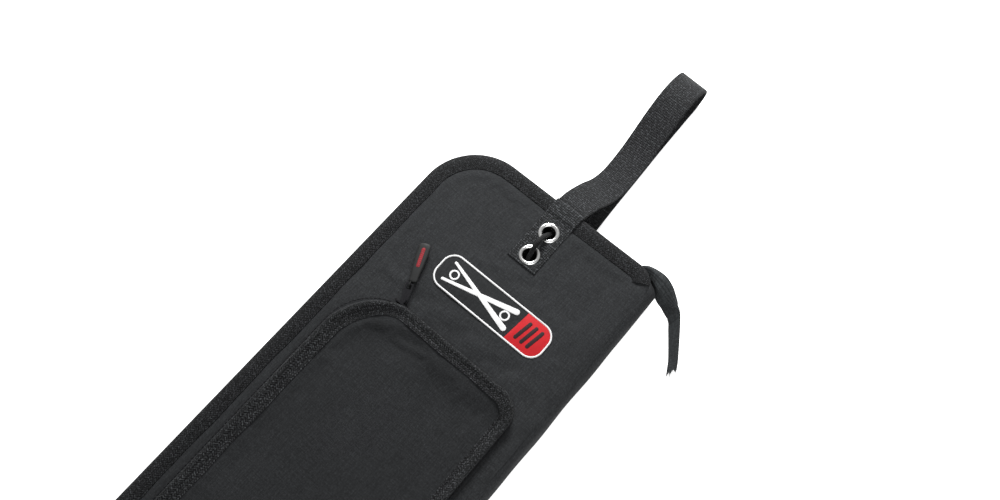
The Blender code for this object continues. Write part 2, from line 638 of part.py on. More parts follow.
def make_pocket():
    """Gusset walls, bound face panel and the zip along the top wall."""
    low, high = POCKET_FLOOR_Z, POCKET_RIM_Z
    section = [(0.0, low), (POCKET_WALL, low), (POCKET_WALL, high), (0.0, high)]
    swept_solid("pocket_gusset", [[(x, y, z) for x, y in pocket_wall_line(inset)] for inset, z in section],
                "cover_fabric")
    rim_z = POCKET_RIM_Z + GAP
    seam = POCKET_BINDING_WIDTH - POCKET_OVERHANG
    frame_solid("pocket_binding", pocket_outline(-POCKET_OVERHANG), pocket_outline(seam),
                (rim_z, POCKET_TOP_Z), "binding_tape")
    stacked_solid("pocket_face", [
        (pocket_outline(seam + GAP), rim_z),
        (pocket_outline(seam + GAP), rim_z + 1.6 * MM),
        (pocket_outline(seam + 6 * MM), POCKET_TOP_Z - 0.4 * MM),
    ], "cover_fabric")
    chain_gap = SLIDER_POST[1] + GAP
    tooth = 1.0 * MM
    for row, sign, edge in (("lower", -1, POCKET_FLOOR_Z), ("upper", 1, POCKET_RIM_Z)):
        near, far = POCKET_ZIP_Z + sign * chain_gap, POCKET_ZIP_Z + sign * (chain_gap + tooth)
        box_solid(f"pocket_{row}_zip_teeth", POCKET_ZIP_X, POCKET_TEETH_Y, sorted((near, far)), "zip_coil")
        tape_z = sorted((far + sign * GAP, edge))
        box_solid(f"pocket_{row}_zip_tape", POCKET_ZIP_X, POCKET_TAPE_Y, tape_z, "zip_tape")


def make_badge():
    """Dark patch with a raised light border and a slanted red panel at its spine end."""
    x_span = (BADGE_CENTRE[0] - BADGE_SIZE[0] / 2, BADGE_CENTRE[0] + BADGE_SIZE[0] / 2)
    y_span = (BADGE_CENTRE[1] - BADGE_SIZE[1] / 2, BADGE_CENTRE[1] + BADGE_SIZE[1] / 2)

    def outline(inset):
        return rounded_box(x_span, y_span, (BADGE_RADIUS,) * 4, inset)

    stacked_solid("badge_base", [(outline(0.0), z) for z in BADGE_BASE_Z], "puller_rubber")
    border = (outline(BADGE_BORDER_INSET), outline(BADGE_BORDER_INSET + BADGE_BORDER))
    frame_solid("badge_border", *border, BADGE_RAISED_Z, "badge_white")
    inset = BADGE_BORDER_INSET + BADGE_BORDER + GAP
    rounded = outline(inset)
    left = x_span[1] - BADGE_PANEL_LENGTH
    steps = CORNER_STEPS + 1
    points = rounded[:steps]
    points += [(left, y_span[1] - inset), (left - BADGE_PANEL_SLANT, y_span[0] + inset)]
    points += rounded[3 * steps:]
    stacked_solid("badge_red_panel", [(points, z) for z in BADGE_RAISED_Z], "red_rubber")


# ---------------------------------------------------------------- sliders and pulls
def slider_body(name, centre, outward, plate_insets):
    """Two plates on both sides of the chain, joined by a post between the rows of teeth.

    The outward direction is +1 for a wall that faces +Y and -1 for one that faces -Y.
    """
    x, y, z = centre
    x_span = (x - SLIDER_HALF_LENGTH, x + SLIDER_HALF_LENGTH)
    z_span = (z - SLIDER_HALF_HEIGHT, z + SLIDER_HALF_HEIGHT)
    outer, inner = plate_insets

    def y_span(first, last):
        return sorted((y - outward * first, y - outward * last))

    body = box_solid(name, x_span, y_span(outer, outer + SLIDER_PLATE), z_span, "black_metal")
    back = box_solid(f"{name}_inner_plate_tool", x_span, y_span(inner, inner + SLIDER_PLATE), z_span)
    post = box_solid(f"{name}_post_tool", (x - SLIDER_POST[0], x + SLIDER_POST[0]),
                     y_span(outer + SLIDER_PLATE / 2, inner + SLIDER_PLATE / 2),
                     (z - SLIDER_POST[1], z + SLIDER_POST[1]))
    combine(body, post, "UNION")
    combine(body, back, "UNION")
    hang_on(body, [back, post])
    return body


def pull_matrix(pivot, along, normal):
    """Local +X runs along the pull, local +Z is its broad face's normal."""
    along, normal = Vector(along).normalized(), Vector(normal).normalized()
    across = normal.cross(along)
    rotation = Matrix((along, across, normal)).transposed().to_4x4()
    return Matrix.Translation(pivot) @ rotation


def make_tab(name, matrix, outline, cutter):
    """Flat metal tab, its origin on the pivot, with a window that leaves a bar for the puller."""
    half = PULL_TAB_THICKNESS / 2
    tab = stacked_solid(name, [(outline, -half), (outline, half)], "black_metal")
    window = box_solid(f"{name}_window_tool", (PULL_WINDOW_START, PULL_TAB_END - PULL_BAR),
                       (-PULL_WINDOW_WIDTH / 2, PULL_WINDOW_WIDTH / 2), (-2 * half, 2 * half))
    for tool in (window, cutter):
        combine(tab, tool, "DIFFERENCE")
        tool.matrix_world = matrix
    tab.matrix_world = matrix
    hang_on(tab, [window, cutter])
    return tab


def make_puller(name, tab):
    """Rubber grip on a ring round the tab's bar, with a coloured insert in its top face."""
    matrix = tab.matrix_world @ Matrix.Translation((PULLER_JOINT, 0, 0))
    start, end = (value - PULLER_JOINT for value in PULLER_BODY)
    half_width, half_thick = PULLER_WIDTH / 2, PULLER_THICKNESS / 2
    radii = (PULLER_TIP_RADIUS, PULLER_NECK_RADIUS, PULLER_NECK_RADIUS, PULLER_TIP_RADIUS)
    outline = rounded_box((start, end), (-half_width, half_width), radii)
    chamfered = rounded_box((start, end), (-half_width, half_width), radii, PULLER_CHAMFER)
    body = stacked_solid(name, [
        (chamfered, -half_thick), (outline, -half_thick + PULLER_CHAMFER),
        (outline, half_thick - PULLER_CHAMFER), (chamfered, half_thick),
    ], "puller_rubber")
    half_ring, half_neck = PULLER_RING_WIDTH / 2, PULLER_NECK_HEIGHT / 2
    inside, outside = PULLER_RING
    ring = turned_solid(f"{name}_ring_tool", (0, 0), [
        (inside, -half_ring), (outside, -half_ring), (outside, half_ring), (inside, half_ring)], None)
    neck = box_solid(f"{name}_neck_tool", ((inside + outside) / 2, start + CUT_MARGIN),
                     (-half_ring, half_ring), (-half_neck, half_neck))
    combine(body, neck, "UNION")
    combine(body, ring, "UNION")
    insert_x = tuple(value - PULLER_JOINT for value in INSERT_SPAN)
    insert_y = (-INSERT_WIDTH / 2, INSERT_WIDTH / 2)
    recess = box_solid(f"{name}_recess_tool", (insert_x[0] - GAP, insert_x[1] + GAP),
                       (insert_y[0] - GAP, insert_y[1] + GAP),
                       (half_thick - INSERT_DEPTH - GAP, half_thick + CUT_MARGIN))
    combine(body, recess, "DIFFERENCE")
    insert = box_solid(f"{name}_insert", insert_x, insert_y,
                       (half_thick - INSERT_DEPTH, half_thick + INSERT_PROUD), "red_rubber")
    ring.matrix_world = matrix @ Matrix.Rotation(math.radians(90), 4, "X")
    for obj in (body, neck, recess, insert):
        obj.matrix_world = matrix
    hang_on(body, [ring, neck, recess, insert])
    hang_on(tab, [body])


def make_main_slider():
    """Slider on the bottom edge; its pull lies along the edge and swings on an upright bar."""
    x, z = MAIN_SLIDER_X, HINGE_Z
    slider = slider_body("main_slider", (x, BOTTOM_Y, z), -1, (0.5 * MM, 4.5 * MM))
    pivot_y = BOTTOM_Y - MAIN_PIVOT_STAND_OFF
    half_lug, half_height = MAIN_LUG_WIDTH / 2, MAIN_LUG_HEIGHT / 2
    lug = box_solid("main_slider_lug_tool", (x - half_lug, x + half_lug),
                    (pivot_y - half_lug, BOTTOM_Y + CUT_MARGIN), (z - half_height, z + half_height))
    combine(slider, lug, "UNION")
    bore = hole_tool("main_slider_bore_tool", (x, pivot_y), MAIN_LUG_BORE_RADIUS,
                     (z - half_height - CUT_MARGIN, z + half_height + CUT_MARGIN))
    combine(slider, bore, "DIFFERENCE")
    half = PULL_TAB_WIDTH / 2
    outline = [(-0.5 * MM, -half), (PULL_TAB_END, -half), (PULL_TAB_END, half), (-0.5 * MM, half)]
    half_window = MAIN_PULL_WINDOW_WIDTH / 2
    window = box_solid("main_pull_lug_window_tool", MAIN_PULL_WINDOW, (-half_window, half_window),
                       (-PULL_TAB_THICKNESS, PULL_TAB_THICKNESS))
    tab = make_tab("main_pull_tab", pull_matrix((x, pivot_y, z), (-1, 0, 0), (0, -1, 0)), outline, window)
    make_puller("main_puller", tab)
    hang_on(slider, [lug, bore, tab])
    hang_on(joint_empty("main_slider_line", (x, BOTTOM_Y, z)), [slider])


def make_pocket_slider():
    """Slider on the pocket's top wall; its flat pull lies on the cover and swivels on an upright pin."""
    x, z = POCKET_SLIDER_X, POCKET_ZIP_Z
    face_y = POCKET_TEETH_Y[1] + GAP + SLIDER_PLATE
    inner = face_y - POCKET_TEETH_Y[0] + GAP
    slider = slider_body("pocket_slider", (x, face_y, z), 1, (0.0, inner))
    pivot_y = face_y + POCKET_PIVOT_STAND_OFF
    half_lug, half_height = POCKET_LUG_WIDTH / 2, POCKET_LUG_HEIGHT / 2
    lug = box_solid("pocket_slider_lug_tool", (x - half_lug, x + half_lug),
                    (face_y - SLIDER_PLATE / 2, pivot_y + half_lug), (z - half_height, z + half_height))
    combine(slider, lug, "UNION")
    slot = box_solid("pocket_slider_slot_tool", (x - POCKET_LUG_WIDTH, x + POCKET_LUG_WIDTH),
                     (face_y, pivot_y + POCKET_LUG_WIDTH), (z - POCKET_LUG_SLOT / 2, z + POCKET_LUG_SLOT / 2))
    combine(slider, slot, "DIFFERENCE")
    half_pin = (POCKET_LUG_SLOT + SLIDER_PLATE) / 2
    pin = hole_tool("pocket_slider_pin_tool", (x, pivot_y), POCKET_PIN_RADIUS, (z - half_pin, z + half_pin))
    combine(slider, pin, "UNION")
    along = (-math.sin(POCKET_PULL_ANGLE), math.cos(POCKET_PULL_ANGLE), 0)
    half = PULL_TAB_WIDTH / 2
    outline = arc((0, 0), PULL_TAB_EYE_RADIUS, 90, 270)
    outline += [(2 * PULL_TAB_EYE_RADIUS, -half), (PULL_TAB_END, -half), (PULL_TAB_END, half),
                (2 * PULL_TAB_EYE_RADIUS, half)]
    hole = hole_tool("pocket_pull_eye_tool", (0, 0), POCKET_EYE_BORE_RADIUS,
                     (-PULL_TAB_THICKNESS, PULL_TAB_THICKNESS))
    tab = make_tab("pocket_pull_tab", pull_matrix((x, pivot_y, z), along, (0, 0, 1)), outline, hole)
    make_puller("pocket_puller", tab)
    hang_on(slider, [lug, slot, pin, tab])


def hang_front_cover():
    """Everything on the front cover turns about the spine's hinge line."""
    hinge = joint_empty("cover_hinge_axis", (HINGE_X, 0, HINGE_Z))
    pieces = [obj for obj in bpy.data.objects if obj.name.startswith(FRONT_COVER_NAMES)]
    hang_on(hinge, [obj for obj in pieces if obj.parent is None])


def main():
    clear_scene()
    for side in SIDES:
        make_cover(side)
    make_eyelets()
    make_tom_cord()
    make_handle()
    make_zip_ends()
    make_pocket()
    make_badge()
    make_main_slider()
    make_pocket_slider()
    hang_front_cover()


main()
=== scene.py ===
"""Drum stick bag: padded covers, bindings, zips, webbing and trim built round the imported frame.

Lengths are in millimetres and become metres where a mesh is made. The bag lies on its back
cover, with +X towards the spine, +Y towards the handle and +Z up.
"""
import json
import math

import bmesh
import bpy
import numpy as np
from mathutils import Matrix, Vector


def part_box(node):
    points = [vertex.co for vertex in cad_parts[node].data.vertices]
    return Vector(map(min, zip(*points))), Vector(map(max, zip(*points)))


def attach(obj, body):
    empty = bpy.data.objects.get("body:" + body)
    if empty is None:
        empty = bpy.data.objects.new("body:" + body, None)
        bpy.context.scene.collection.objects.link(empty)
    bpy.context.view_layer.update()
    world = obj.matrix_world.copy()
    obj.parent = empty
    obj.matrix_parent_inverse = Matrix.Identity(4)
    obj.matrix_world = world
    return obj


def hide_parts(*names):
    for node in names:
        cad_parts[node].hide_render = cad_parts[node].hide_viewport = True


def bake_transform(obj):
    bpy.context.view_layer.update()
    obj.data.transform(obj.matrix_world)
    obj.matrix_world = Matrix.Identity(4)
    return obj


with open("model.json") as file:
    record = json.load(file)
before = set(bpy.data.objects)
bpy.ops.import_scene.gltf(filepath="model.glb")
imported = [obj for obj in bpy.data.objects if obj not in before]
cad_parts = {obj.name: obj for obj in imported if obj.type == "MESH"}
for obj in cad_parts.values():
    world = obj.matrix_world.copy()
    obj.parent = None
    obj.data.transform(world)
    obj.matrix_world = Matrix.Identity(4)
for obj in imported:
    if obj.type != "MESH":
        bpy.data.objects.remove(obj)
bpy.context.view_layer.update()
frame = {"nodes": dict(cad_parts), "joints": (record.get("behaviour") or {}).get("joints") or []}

MM = 0.001


def box_mm(node):
    """Lowest and highest corner of a CAD node in millimetres."""
    low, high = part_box(node)
    return np.array(low) / MM, np.array(high) / MM


def joint_place(name):
    """Place of a joint, in metres."""
    return next(joint["pos_m"] for joint in frame["joints"] if joint["name"] == name)


def box_centre(node):
    """Middle of a CAD node's box in millimetres."""
    low, high = box_mm(node)
    return (low + high) / 2


def link_object(name, data):
    """A new object in the scene."""
    obj = bpy.data.objects.new(name, data)
    bpy.context.scene.collection.objects.link(obj)
    return obj


# ---------------------------------------------------------------- places read from the frame
EDGE_LOW, EDGE_HIGH = box_mm("back_binding")
LEFT, BOTTOM, TOP = EDGE_LOW[0], EDGE_LOW[1], EDGE_HIGH[1]
COVER_RIGHT = box_mm("back_shell")[1][0]
THICK = box_mm("front_binding")[1][2]
MID_Z = THICK / 2
LINING_HEIGHT = box_mm("back_lining")[1][2]
BINDING_HEIGHT = EDGE_HIGH[2]
HINGE_X = joint_place("cover_hinge")[0] / MM
POCKET_LOW, POCKET_HIGH = box_mm("pocket_gusset")
POCKET_TOP_Z = box_mm("pocket_binding")[1][2]
TAB_LOW, TAB_HIGH = box_mm("eyelet_tab")
BADGE_LOW, BADGE_HIGH = box_mm("badge_base")
STICK_LOW, STICK_HIGH = box_mm("back_stick_pocket")
CORNER_RADIUS = 46.0
SPINE_CORNER_RADIUS = 16.0
BINDING_WIDTH = 13.0
BINDING_WALL = 0.8
POCKET_RADII = {"spine_top": 17.0, "zip_top": 40.0, "bottom": 30.0}
HANDLE_WIDTH = 25.0
HANDLE_REACH = 150.6
CORD_RADIUS = 1.8
FLOOR_Z = -0.4
FLOOR_REACH = 6.0
SIDES = ("back", "front")
COVER_BODY = {"back": "back_cover", "front": "front_cover"}
OUTWARD = {"back": -1.0, "front": 1.0}
EYELETS = ("upper_eyelet", "lower_eyelet")
CLOTH_HOLE_RADIUS = 5.35
PANEL_INSET = 5.0
PADDING_DEPTH = 4.0
BADGE_RADIUS = 11.0
STITCH_BEAD = [(-0.5, 0.25), (-0.42, 0.75), (0.0, 1.0), (0.42, 0.75), (0.5, 0.25)]
STITCH_ANGLES = np.linspace(0, 2 * math.pi, 6, endpoint=False)
STITCH_SINK = 0.05
PULL_FACE = {"main": (0.0, -1.0, 0.0), "pocket": (0.0, 0.0, 1.0)}
PULLER_LEAN = {"main": 0.0, "pocket": -1.0}
PULLER_RING_RADIUS = 1.75
PULLER_RING_WALL = 0.5


# ---------------------------------------------------------------- camera, floor and light
CAMERA_PLACE = (0.1381, 0.0004, 0.6657)
CAMERA_TARGET = (-0.0189, 0.1886, 0.0)
CAMERA_ROLL = 0.51
CAMERA_LENS = 33.9


def make_camera():
    data = bpy.data.cameras.new("camera")
    data.lens = CAMERA_LENS
    data.sensor_width = 36.0
    data.clip_start = 0.01
    data.clip_end = 20.0
    camera = link_object("camera", data)
    aim = (Vector(CAMERA_TARGET) - Vector(CAMERA_PLACE)).to_track_quat("-Z", "Y")
    roll = Matrix.Rotation(math.radians(CAMERA_ROLL), 4, "Z")
    camera.matrix_world = Matrix.Translation(CAMERA_PLACE) @ aim.to_matrix().to_4x4() @ roll
    bpy.context.scene.camera = camera


def area_light(name, place, target, size, power):
    data = bpy.data.lights.new(name, "AREA")
    data.shape = "DISK"
    data.size = size
    data.energy = power
    light = link_object(name, data)
    light.location = place
    light.rotation_euler = (Vector(target) - Vector(place)).to_track_quat("-Z", "Y").to_euler()


def make_studio():
    """White surroundings, a key from behind the handle, a soft fill and a self-lit paper floor."""
    white = (1.0, 1.0, 1.0, 1.0)
    world = bpy.data.worlds.new("studio")
    bpy.context.scene.world = world
    world.use_nodes = True
    background = world.node_tree.nodes["Background"]
    background.inputs["Color"].default_value = white
    background.inputs["Strength"].default_value = 0.36
    bpy.context.scene.view_settings.view_transform = "Standard"
    area_light("key", (-0.36, 0.74, 0.50), (0.02, 0.16, 0), 0.40, 12.2)
    area_light("fill", (0.7, -0.35, 1.1), (0, 0.05, 0), 1.0, 6)
    mesh = bpy.data.meshes.new("floor")
    square = ((-1, -1), (1, -1), (1, 1), (-1, 1))
    corners = [(x * FLOOR_REACH, y * FLOOR_REACH, FLOOR_Z * MM) for x, y in square]
    mesh.from_pydata(corners, [], [(0, 1, 2, 3)])
    paper = Shader("floor_paper", roughness=0.9)
    paper.colour((0.95, 0.95, 0.95))
    paper.principled.inputs["Emission Color"].default_value = white
    paper.principled.inputs["Emission Strength"].default_value = 0.68
    mesh.materials.append(paper.material)
    link_object("floor", mesh)


# ---------------------------------------------------------------- materials
class Shader:
    """A Principled material whose node graph is written as plain expressions."""

    def __init__(self, name, roughness=0.8, metallic=0.0, sheen=0.0, specular=0.5):
        self.material = bpy.data.materials.new(name)
        self.material.use_nodes = True
        self.tree = self.material.node_tree
        self.principled = self.tree.nodes["Principled BSDF"]
        inputs = self.principled.inputs
        inputs["Roughness"].default_value = roughness
        inputs["Metallic"].default_value = metallic
        inputs["Sheen Weight"].default_value = sheen
        inputs["Sheen Roughness"].default_value = 0.5
        inputs["Specular IOR Level"].default_value = specular

    def put(self, socket, value):
        if isinstance(value, bpy.types.NodeSocket):
            self.tree.links.new(value, socket)
        elif isinstance(value, tuple) and len(value) == 3 and socket.type == "RGBA":
            socket.default_value = (*value, 1.0)
        else:
            socket.default_value = value

    def math(self, operation, first, second=0.0):
        node = self.tree.nodes.new("ShaderNodeMath")
        node.operation = operation
        self.put(node.inputs[0], first)
        self.put(node.inputs[1], second)
        return node.outputs[0]

    def product(self, *values):
        total = values[0]
        for value in values[1:]:
            total = self.math("MULTIPLY", total, value)
        return total

    def mix(self, share, first, second):
        node = self.tree.nodes.new("ShaderNodeMix")
        node.data_type = "RGBA"
        self.put(node.inputs[0], share)
        self.put(node.inputs[6], first)
        self.put(node.inputs[7], second)
        return node.outputs[2]

    def remap(self, value, low, high, to_low, to_high):
        node = self.tree.nodes.new("ShaderNodeMapRange")
        for socket, number in zip(node.inputs[:5], (value, low, high, to_low, to_high)):
            self.put(socket, number)
        return node.outputs[0]

    def swing(self, value, amount, low=0.3, high=0.7):
        """A factor that runs from 1 - amount to 1 + amount."""
        return self.remap(value, low, high, 1.0 - amount, 1.0 + amount)

    def noise(self, vector, scale, detail=2.0):
        node = self.tree.nodes.new("ShaderNodeTexNoise")
        self.put(node.inputs["Vector"], vector)
        node.inputs["Scale"].default_value = scale
        node.inputs["Detail"].default_value = detail
        return node.outputs["Fac"]

    def place(self):
        """Object coordinates in metres."""
        return self.tree.nodes.new("ShaderNodeTexCoord").outputs["Object"]

    def cloth_lines(self):
        """Distances along and across the cloth, in millimetres, from the mesh's cloth map."""
        uv = self.tree.nodes.new("ShaderNodeUVMap")
        uv.uv_map = "cloth"
        split = self.tree.nodes.new("ShaderNodeSeparateXYZ")
        self.tree.links.new(uv.outputs["UV"], split.inputs[0])
        return self.product(split.outputs[0], 1000.0), self.product(split.outputs[1], 1000.0)

    def streaks(self, u, v, along, across):
        """Noise drawn out into streaks: along and across are its sizes in millimetres."""
        join = self.tree.nodes.new("ShaderNodeCombineXYZ")
        self.put(join.inputs[0], self.product(u, 1.0 / along))
        self.put(join.inputs[1], self.product(v, 1.0 / across))
        return self.noise(join.outputs[0], 1.0, 1.0)

    def bump(self, height, distance, strength=1.0):
        node = self.tree.nodes.new("ShaderNodeBump")
        node.inputs["Strength"].default_value = strength
        node.inputs["Distance"].default_value = distance
        self.put(node.inputs["Height"], height)
        self.tree.links.new(node.outputs["Normal"], self.principled.inputs["Normal"])

    def colour(self, value):
        self.put(self.principled.inputs["Base Color"], value)

    def roughness(self, value):
        self.put(self.principled.inputs["Roughness"], value)


def scaled(colour, share):
    return tuple(channel * share for channel in colour)


def plain_weave(shader, u, v, pitch_u, pitch_v):
    """Height of an over-and-under weave: 0 between the threads and 1 on their crowns."""
    wave_u = shader.math("SINE", shader.product(u, math.pi / pitch_u))
    wave_v = shader.math("SINE", shader.product(v, math.pi / pitch_v))
    over = shader.math("GREATER_THAN", shader.product(wave_u, wave_v), 0.0)
    warp, weft = shader.math("ABSOLUTE", wave_u), shader.math("ABSOLUTE", wave_v)
    under = shader.math("SUBTRACT", 1.0, over)
    first = shader.product(warp, shader.remap(weft, 0.0, 1.0, 0.45, 1.0), over)
    second = shader.product(weft, shader.remap(warp, 0.0, 1.0, 0.45, 1.0), under)
    return shader.math("ADD", first, second)


def herringbone(shader, u, v, pitch, column):
    """Height of slanted ribs that change direction in each column across the tape."""
    folded = shader.math("PINGPONG", v, column)
    slant = shader.math("ADD", u, shader.product(folded, 1.1))
    rib = shader.math("ABSOLUTE", shader.math("SINE", shader.product(slant, math.pi / pitch)))
    thread = shader.math("ABSOLUTE", shader.math("SINE", shader.product(v, math.pi / (pitch * 0.7))))
    return shader.product(rib, shader.remap(thread, 0.0, 1.0, 0.45, 1.0))


def cloth(name, colour, pitch=(0.6, 0.6), painted_weave_shade=0.35, relief=0.12, roughness=0.85, rib=None,
          speckle=0.2, painted_glint=0.0):
    """Woven cloth: thread relief with painted shade between the threads and painted highlight on their
    crowns, threads of uneven tone, soft mottling, painted glints as bright specks, and fuzz.
    """
    shader = Shader(name, roughness, sheen=0.02, specular=0.18)
    u, v = shader.cloth_lines()
    place = shader.place()
    height = herringbone(shader, u, v, *rib) if rib else plain_weave(shader, u, v, *pitch)
    mottle = shader.noise(place, 26.0, 3.0)
    fuzz = shader.noise(place, 1100.0, 2.0)
    # Painted glints: streaky bright specks in the colour that stand for light catching the fibres.
    glint = shader.streaks(u, v, 1.7, 1.2)
    # Painted shade and highlight: the weave's height darkens the colour between the threads and lightens it
    # on their crowns.
    tone = shader.product(
        shader.swing(height, painted_weave_shade, 0.0, 1.0),
        shader.swing(shader.streaks(u, v, 14.0, 0.9), speckle * 0.6),
        shader.swing(shader.streaks(u, v, 0.9, 11.0), speckle * 0.6),
        shader.swing(mottle, 0.07),
        shader.swing(fuzz, speckle),
        shader.remap(glint, 0.46, 0.68, 1.0 - 0.5 * painted_glint, 1.0 + 1.7 * painted_glint))
    shader.colour(shader.mix(shader.product(tone, 0.25), (0.0, 0.0, 0.0), scaled(colour, 4.0)))
    shader.roughness(shader.remap(height, 0.0, 1.0, min(1.0, roughness + 0.1), roughness - 0.06))
    shader.bump(shader.math("ADD", height, shader.product(fuzz, 0.6)), relief * MM, 0.8)
    return shader.material


def thread(name, colour, roughness=0.6):
    """Sewing thread or satin stitch: fine twisted filaments."""
    shader = Shader(name, roughness, specular=0.25)
    place = shader.place()
    filament = shader.noise(place, 3000.0, 2.0)
    shade = shader.remap(shader.noise(place, 160.0, 1.0), 0.3, 0.7, 0.93, 1.05)
    tone = shader.product(shader.remap(filament, 0.3, 0.7, 0.85, 1.1), shade)
    shader.colour(shader.mix(shader.product(tone, 0.5), (0.0, 0.0, 0.0), scaled(colour, 2.0)))
    shader.bump(filament, 0.08 * MM, 0.7)
    return shader.material


def rubber(name, colour, roughness):
    """Moulded rubber or coil plastic: fine pebble and soft scuffs."""
    shader = Shader(name, roughness, specular=0.35)
    place = shader.place()
    pebble = shader.noise(place, 2200.0, 2.0)
    scuff = shader.noise(place, 240.0, 4.0)
    share = shader.remap(scuff, 0.35, 0.75, 0.0, 1.0)
    shader.colour(shader.mix(share, scaled(colour, 0.85), scaled(colour, 1.25)))
    shader.roughness(shader.remap(scuff, 0.3, 0.7, roughness - 0.08, roughness + 0.12))
    shader.bump(pebble, 0.03 * MM, 0.6)
    return shader.material


def metal(name, colour, roughness, metallic=1.0):
    """Plated or painted metal with faint wear and polishing marks."""
    shader = Shader(name, roughness, metallic)
    place = shader.place()
    mark = shader.noise(place, 1400.0, 3.0)
    cloud = shader.noise(place, 120.0, 2.0)
    shader.colour(shader.mix(shader.remap(cloud, 0.3, 0.7, 0.0, 1.0), scaled(colour, 0.9), colour))
    shader.roughness(shader.remap(mark, 0.3, 0.7, roughness, roughness + 0.1))
    shader.bump(mark, 0.006 * MM, 0.5)
    return shader.material


def make_materials():
    cover = {"pitch": (0.7, 0.8), "painted_weave_shade": 0.40, "relief": 0.14, "speckle": 0.26, "painted_glint": 0.12}
    ribbed = {"painted_weave_shade": 0.9, "relief": 0.45, "rib": (1.9, 1.9), "speckle": 0.4, "painted_glint": 0.9}
    webbing = {"pitch": (1.7, 1.3), "speckle": 0.35}
    return {
        "cover": cloth("cover_weave", (0.0205, 0.0217, 0.0231), **cover),
        "binding": cloth("binding_weave", (0.0108, 0.0114, 0.0121), **ribbed),
        "pocket": cloth("pocket_weave", (0.0162, 0.0172, 0.0184), **cover),
        "pocket_binding": cloth("pocket_binding_weave", (0.0165, 0.0174, 0.0183), **ribbed),
        "lining": cloth("lining_weave", (0.014, 0.0145, 0.0155), (0.4, 0.4), 0.2, 0.06, 0.8),
        "webbing": cloth("webbing_weave", (0.0165, 0.0174, 0.0184), painted_weave_shade=0.80, relief=0.35,
                         roughness=0.75, painted_glint=0.8, **webbing),
        "tab": cloth("tab_weave", (0.0205, 0.0218, 0.0230), painted_weave_shade=0.85, relief=0.40,
                     roughness=0.8, painted_glint=0.95, **webbing),
        "tape": cloth("zip_tape_knit", (0.016, 0.0165, 0.0175), (0.8, 0.5), 0.35, 0.15),
        "tail": cloth("tail_knit", (0.027, 0.0300, 0.0315), (0.9, 0.6), 0.45, 0.20,
                      speckle=0.28, painted_glint=0.2),
        "cord": cloth("cord_braid", (0.011, 0.0112, 0.0118), (1.2, 1.2), 0.6, 0.25, 0.7),
        "patch": cloth("patch_twill", (0.018, 0.0190, 0.0200), (0.5, 0.5), 0.25, 0.10),
        "seam": thread("seam_thread", (0.006, 0.006, 0.007)),
        "white": thread("white_satin", (0.76, 0.76, 0.76), 0.55),
        "red": thread("red_satin", (0.47, 0.007, 0.012)),
        "black": thread("black_satin", (0.020, 0.008, 0.010)),
        "nickel": metal("nickel_plate", (0.92, 0.92, 0.91), 0.16),
        "gunmetal": metal("black_lacquer", (0.030, 0.030, 0.033), 0.26, 0.85),
        "coil": rubber("zip_coil_plastic", (0.012, 0.012, 0.013), 0.4),
        "rubber": rubber("puller_moulding", (0.0065, 0.0072, 0.0072), 0.6),
        "red_rubber": rubber("puller_inlay", (0.21, 0.006, 0.012), 0.6),
    }


# ---------------------------------------------------------------- mesh tools
def finish_mesh(name, verts, faces, uvs, material, angle=40.0):
    """A closed mesh object from points in mm; uvs holds (u, v) in mm for each face corner, or None."""
    mesh = bpy.data.meshes.new(name)
    mesh.from_pydata((np.asarray(verts) * MM).tolist(), [], faces)
    if uvs is not None:
        layer = mesh.uv_layers.new(name="cloth")
        layer.data.foreach_set("uv", (np.asarray(uvs) * MM).astype(np.float32).ravel())
    bm = bmesh.new()
    bm.from_mesh(mesh)
    bmesh.ops.recalc_face_normals(bm, faces=bm.faces[:])
    bm.to_mesh(mesh)
    bm.free()
    mesh.shade_smooth()
    mesh.set_sharp_from_angle(angle=math.radians(angle))
    mesh.materials.append(material)
    return link_object(name, mesh)


def lattice(name, grid, along, across, material, wrap_along=False, caps="strip", angle=40.0):
    """A closed skin over a grid of (station, section) points whose sections are closed loops.

    along and across are the cloth distances of the stations and of the section's points. The
    first half of a section is one face of the cloth and the second half comes back on the
    other, so an end is closed by a strip between the two.
    """
    grid = np.asarray(grid, float)
    n, m = grid.shape[:2]
    along = np.append(along, 2 * along[-1] - along[-2]) if wrap_along else np.asarray(along, float)
    across = np.append(across, across[0])
    rows = n if wrap_along else n - 1
    i, j = (index.ravel() for index in np.meshgrid(np.arange(rows), np.arange(m), indexing="ij"))
    i2, j2 = (i + 1) % n, (j + 1) % m
    quads = np.stack([i * m + j, i * m + j2, i2 * m + j2, i2 * m + j], axis=1)
    corners = ((i, j), (i, j + 1), (i + 1, j + 1), (i + 1, j))
    uvs = np.stack([np.stack([along[a], across[b]], axis=1) for a, b in corners], axis=1)
    faces = quads.tolist()
    uvs = uvs.reshape(-1, 2).tolist()
    if not wrap_along:
        for row in (0, n - 1):
            start = row * m
            if caps == "strip":
                for k in range(m // 2 - 1):
                    faces.append([start + k, start + k + 1, start + m - 2 - k, start + m - 1 - k])
                    uvs += [(along[row], across[k]), (along[row], across[k + 1]),
                            (along[row] + 0.5, across[k + 1]), (along[row] + 0.5, across[k])]
            else:
                faces.append([start + k for k in range(m)])
                uvs += [(along[row], across[k]) for k in range(m)]
    return finish_mesh(name, grid.reshape(-1, 3), faces, uvs, material, angle=angle)


def two_faced(name, face, back, along, across, material, angle=60.0):
    """A thin closed sheet from the points of its face and of its back."""
    grid = np.concatenate([face, back[:, ::-1]], axis=1)
    return lattice(name, grid, along, np.concatenate([across, across[::-1]]), material, angle=angle)


def plan_panel(name, face, back, x, y, material):
    """A two-faced panel whose cloth map follows its plan."""
    across = x[len(x) // 2]
    return two_faced(name, face, back, y[:, 0] - y[0, 0], across - across[0], material)


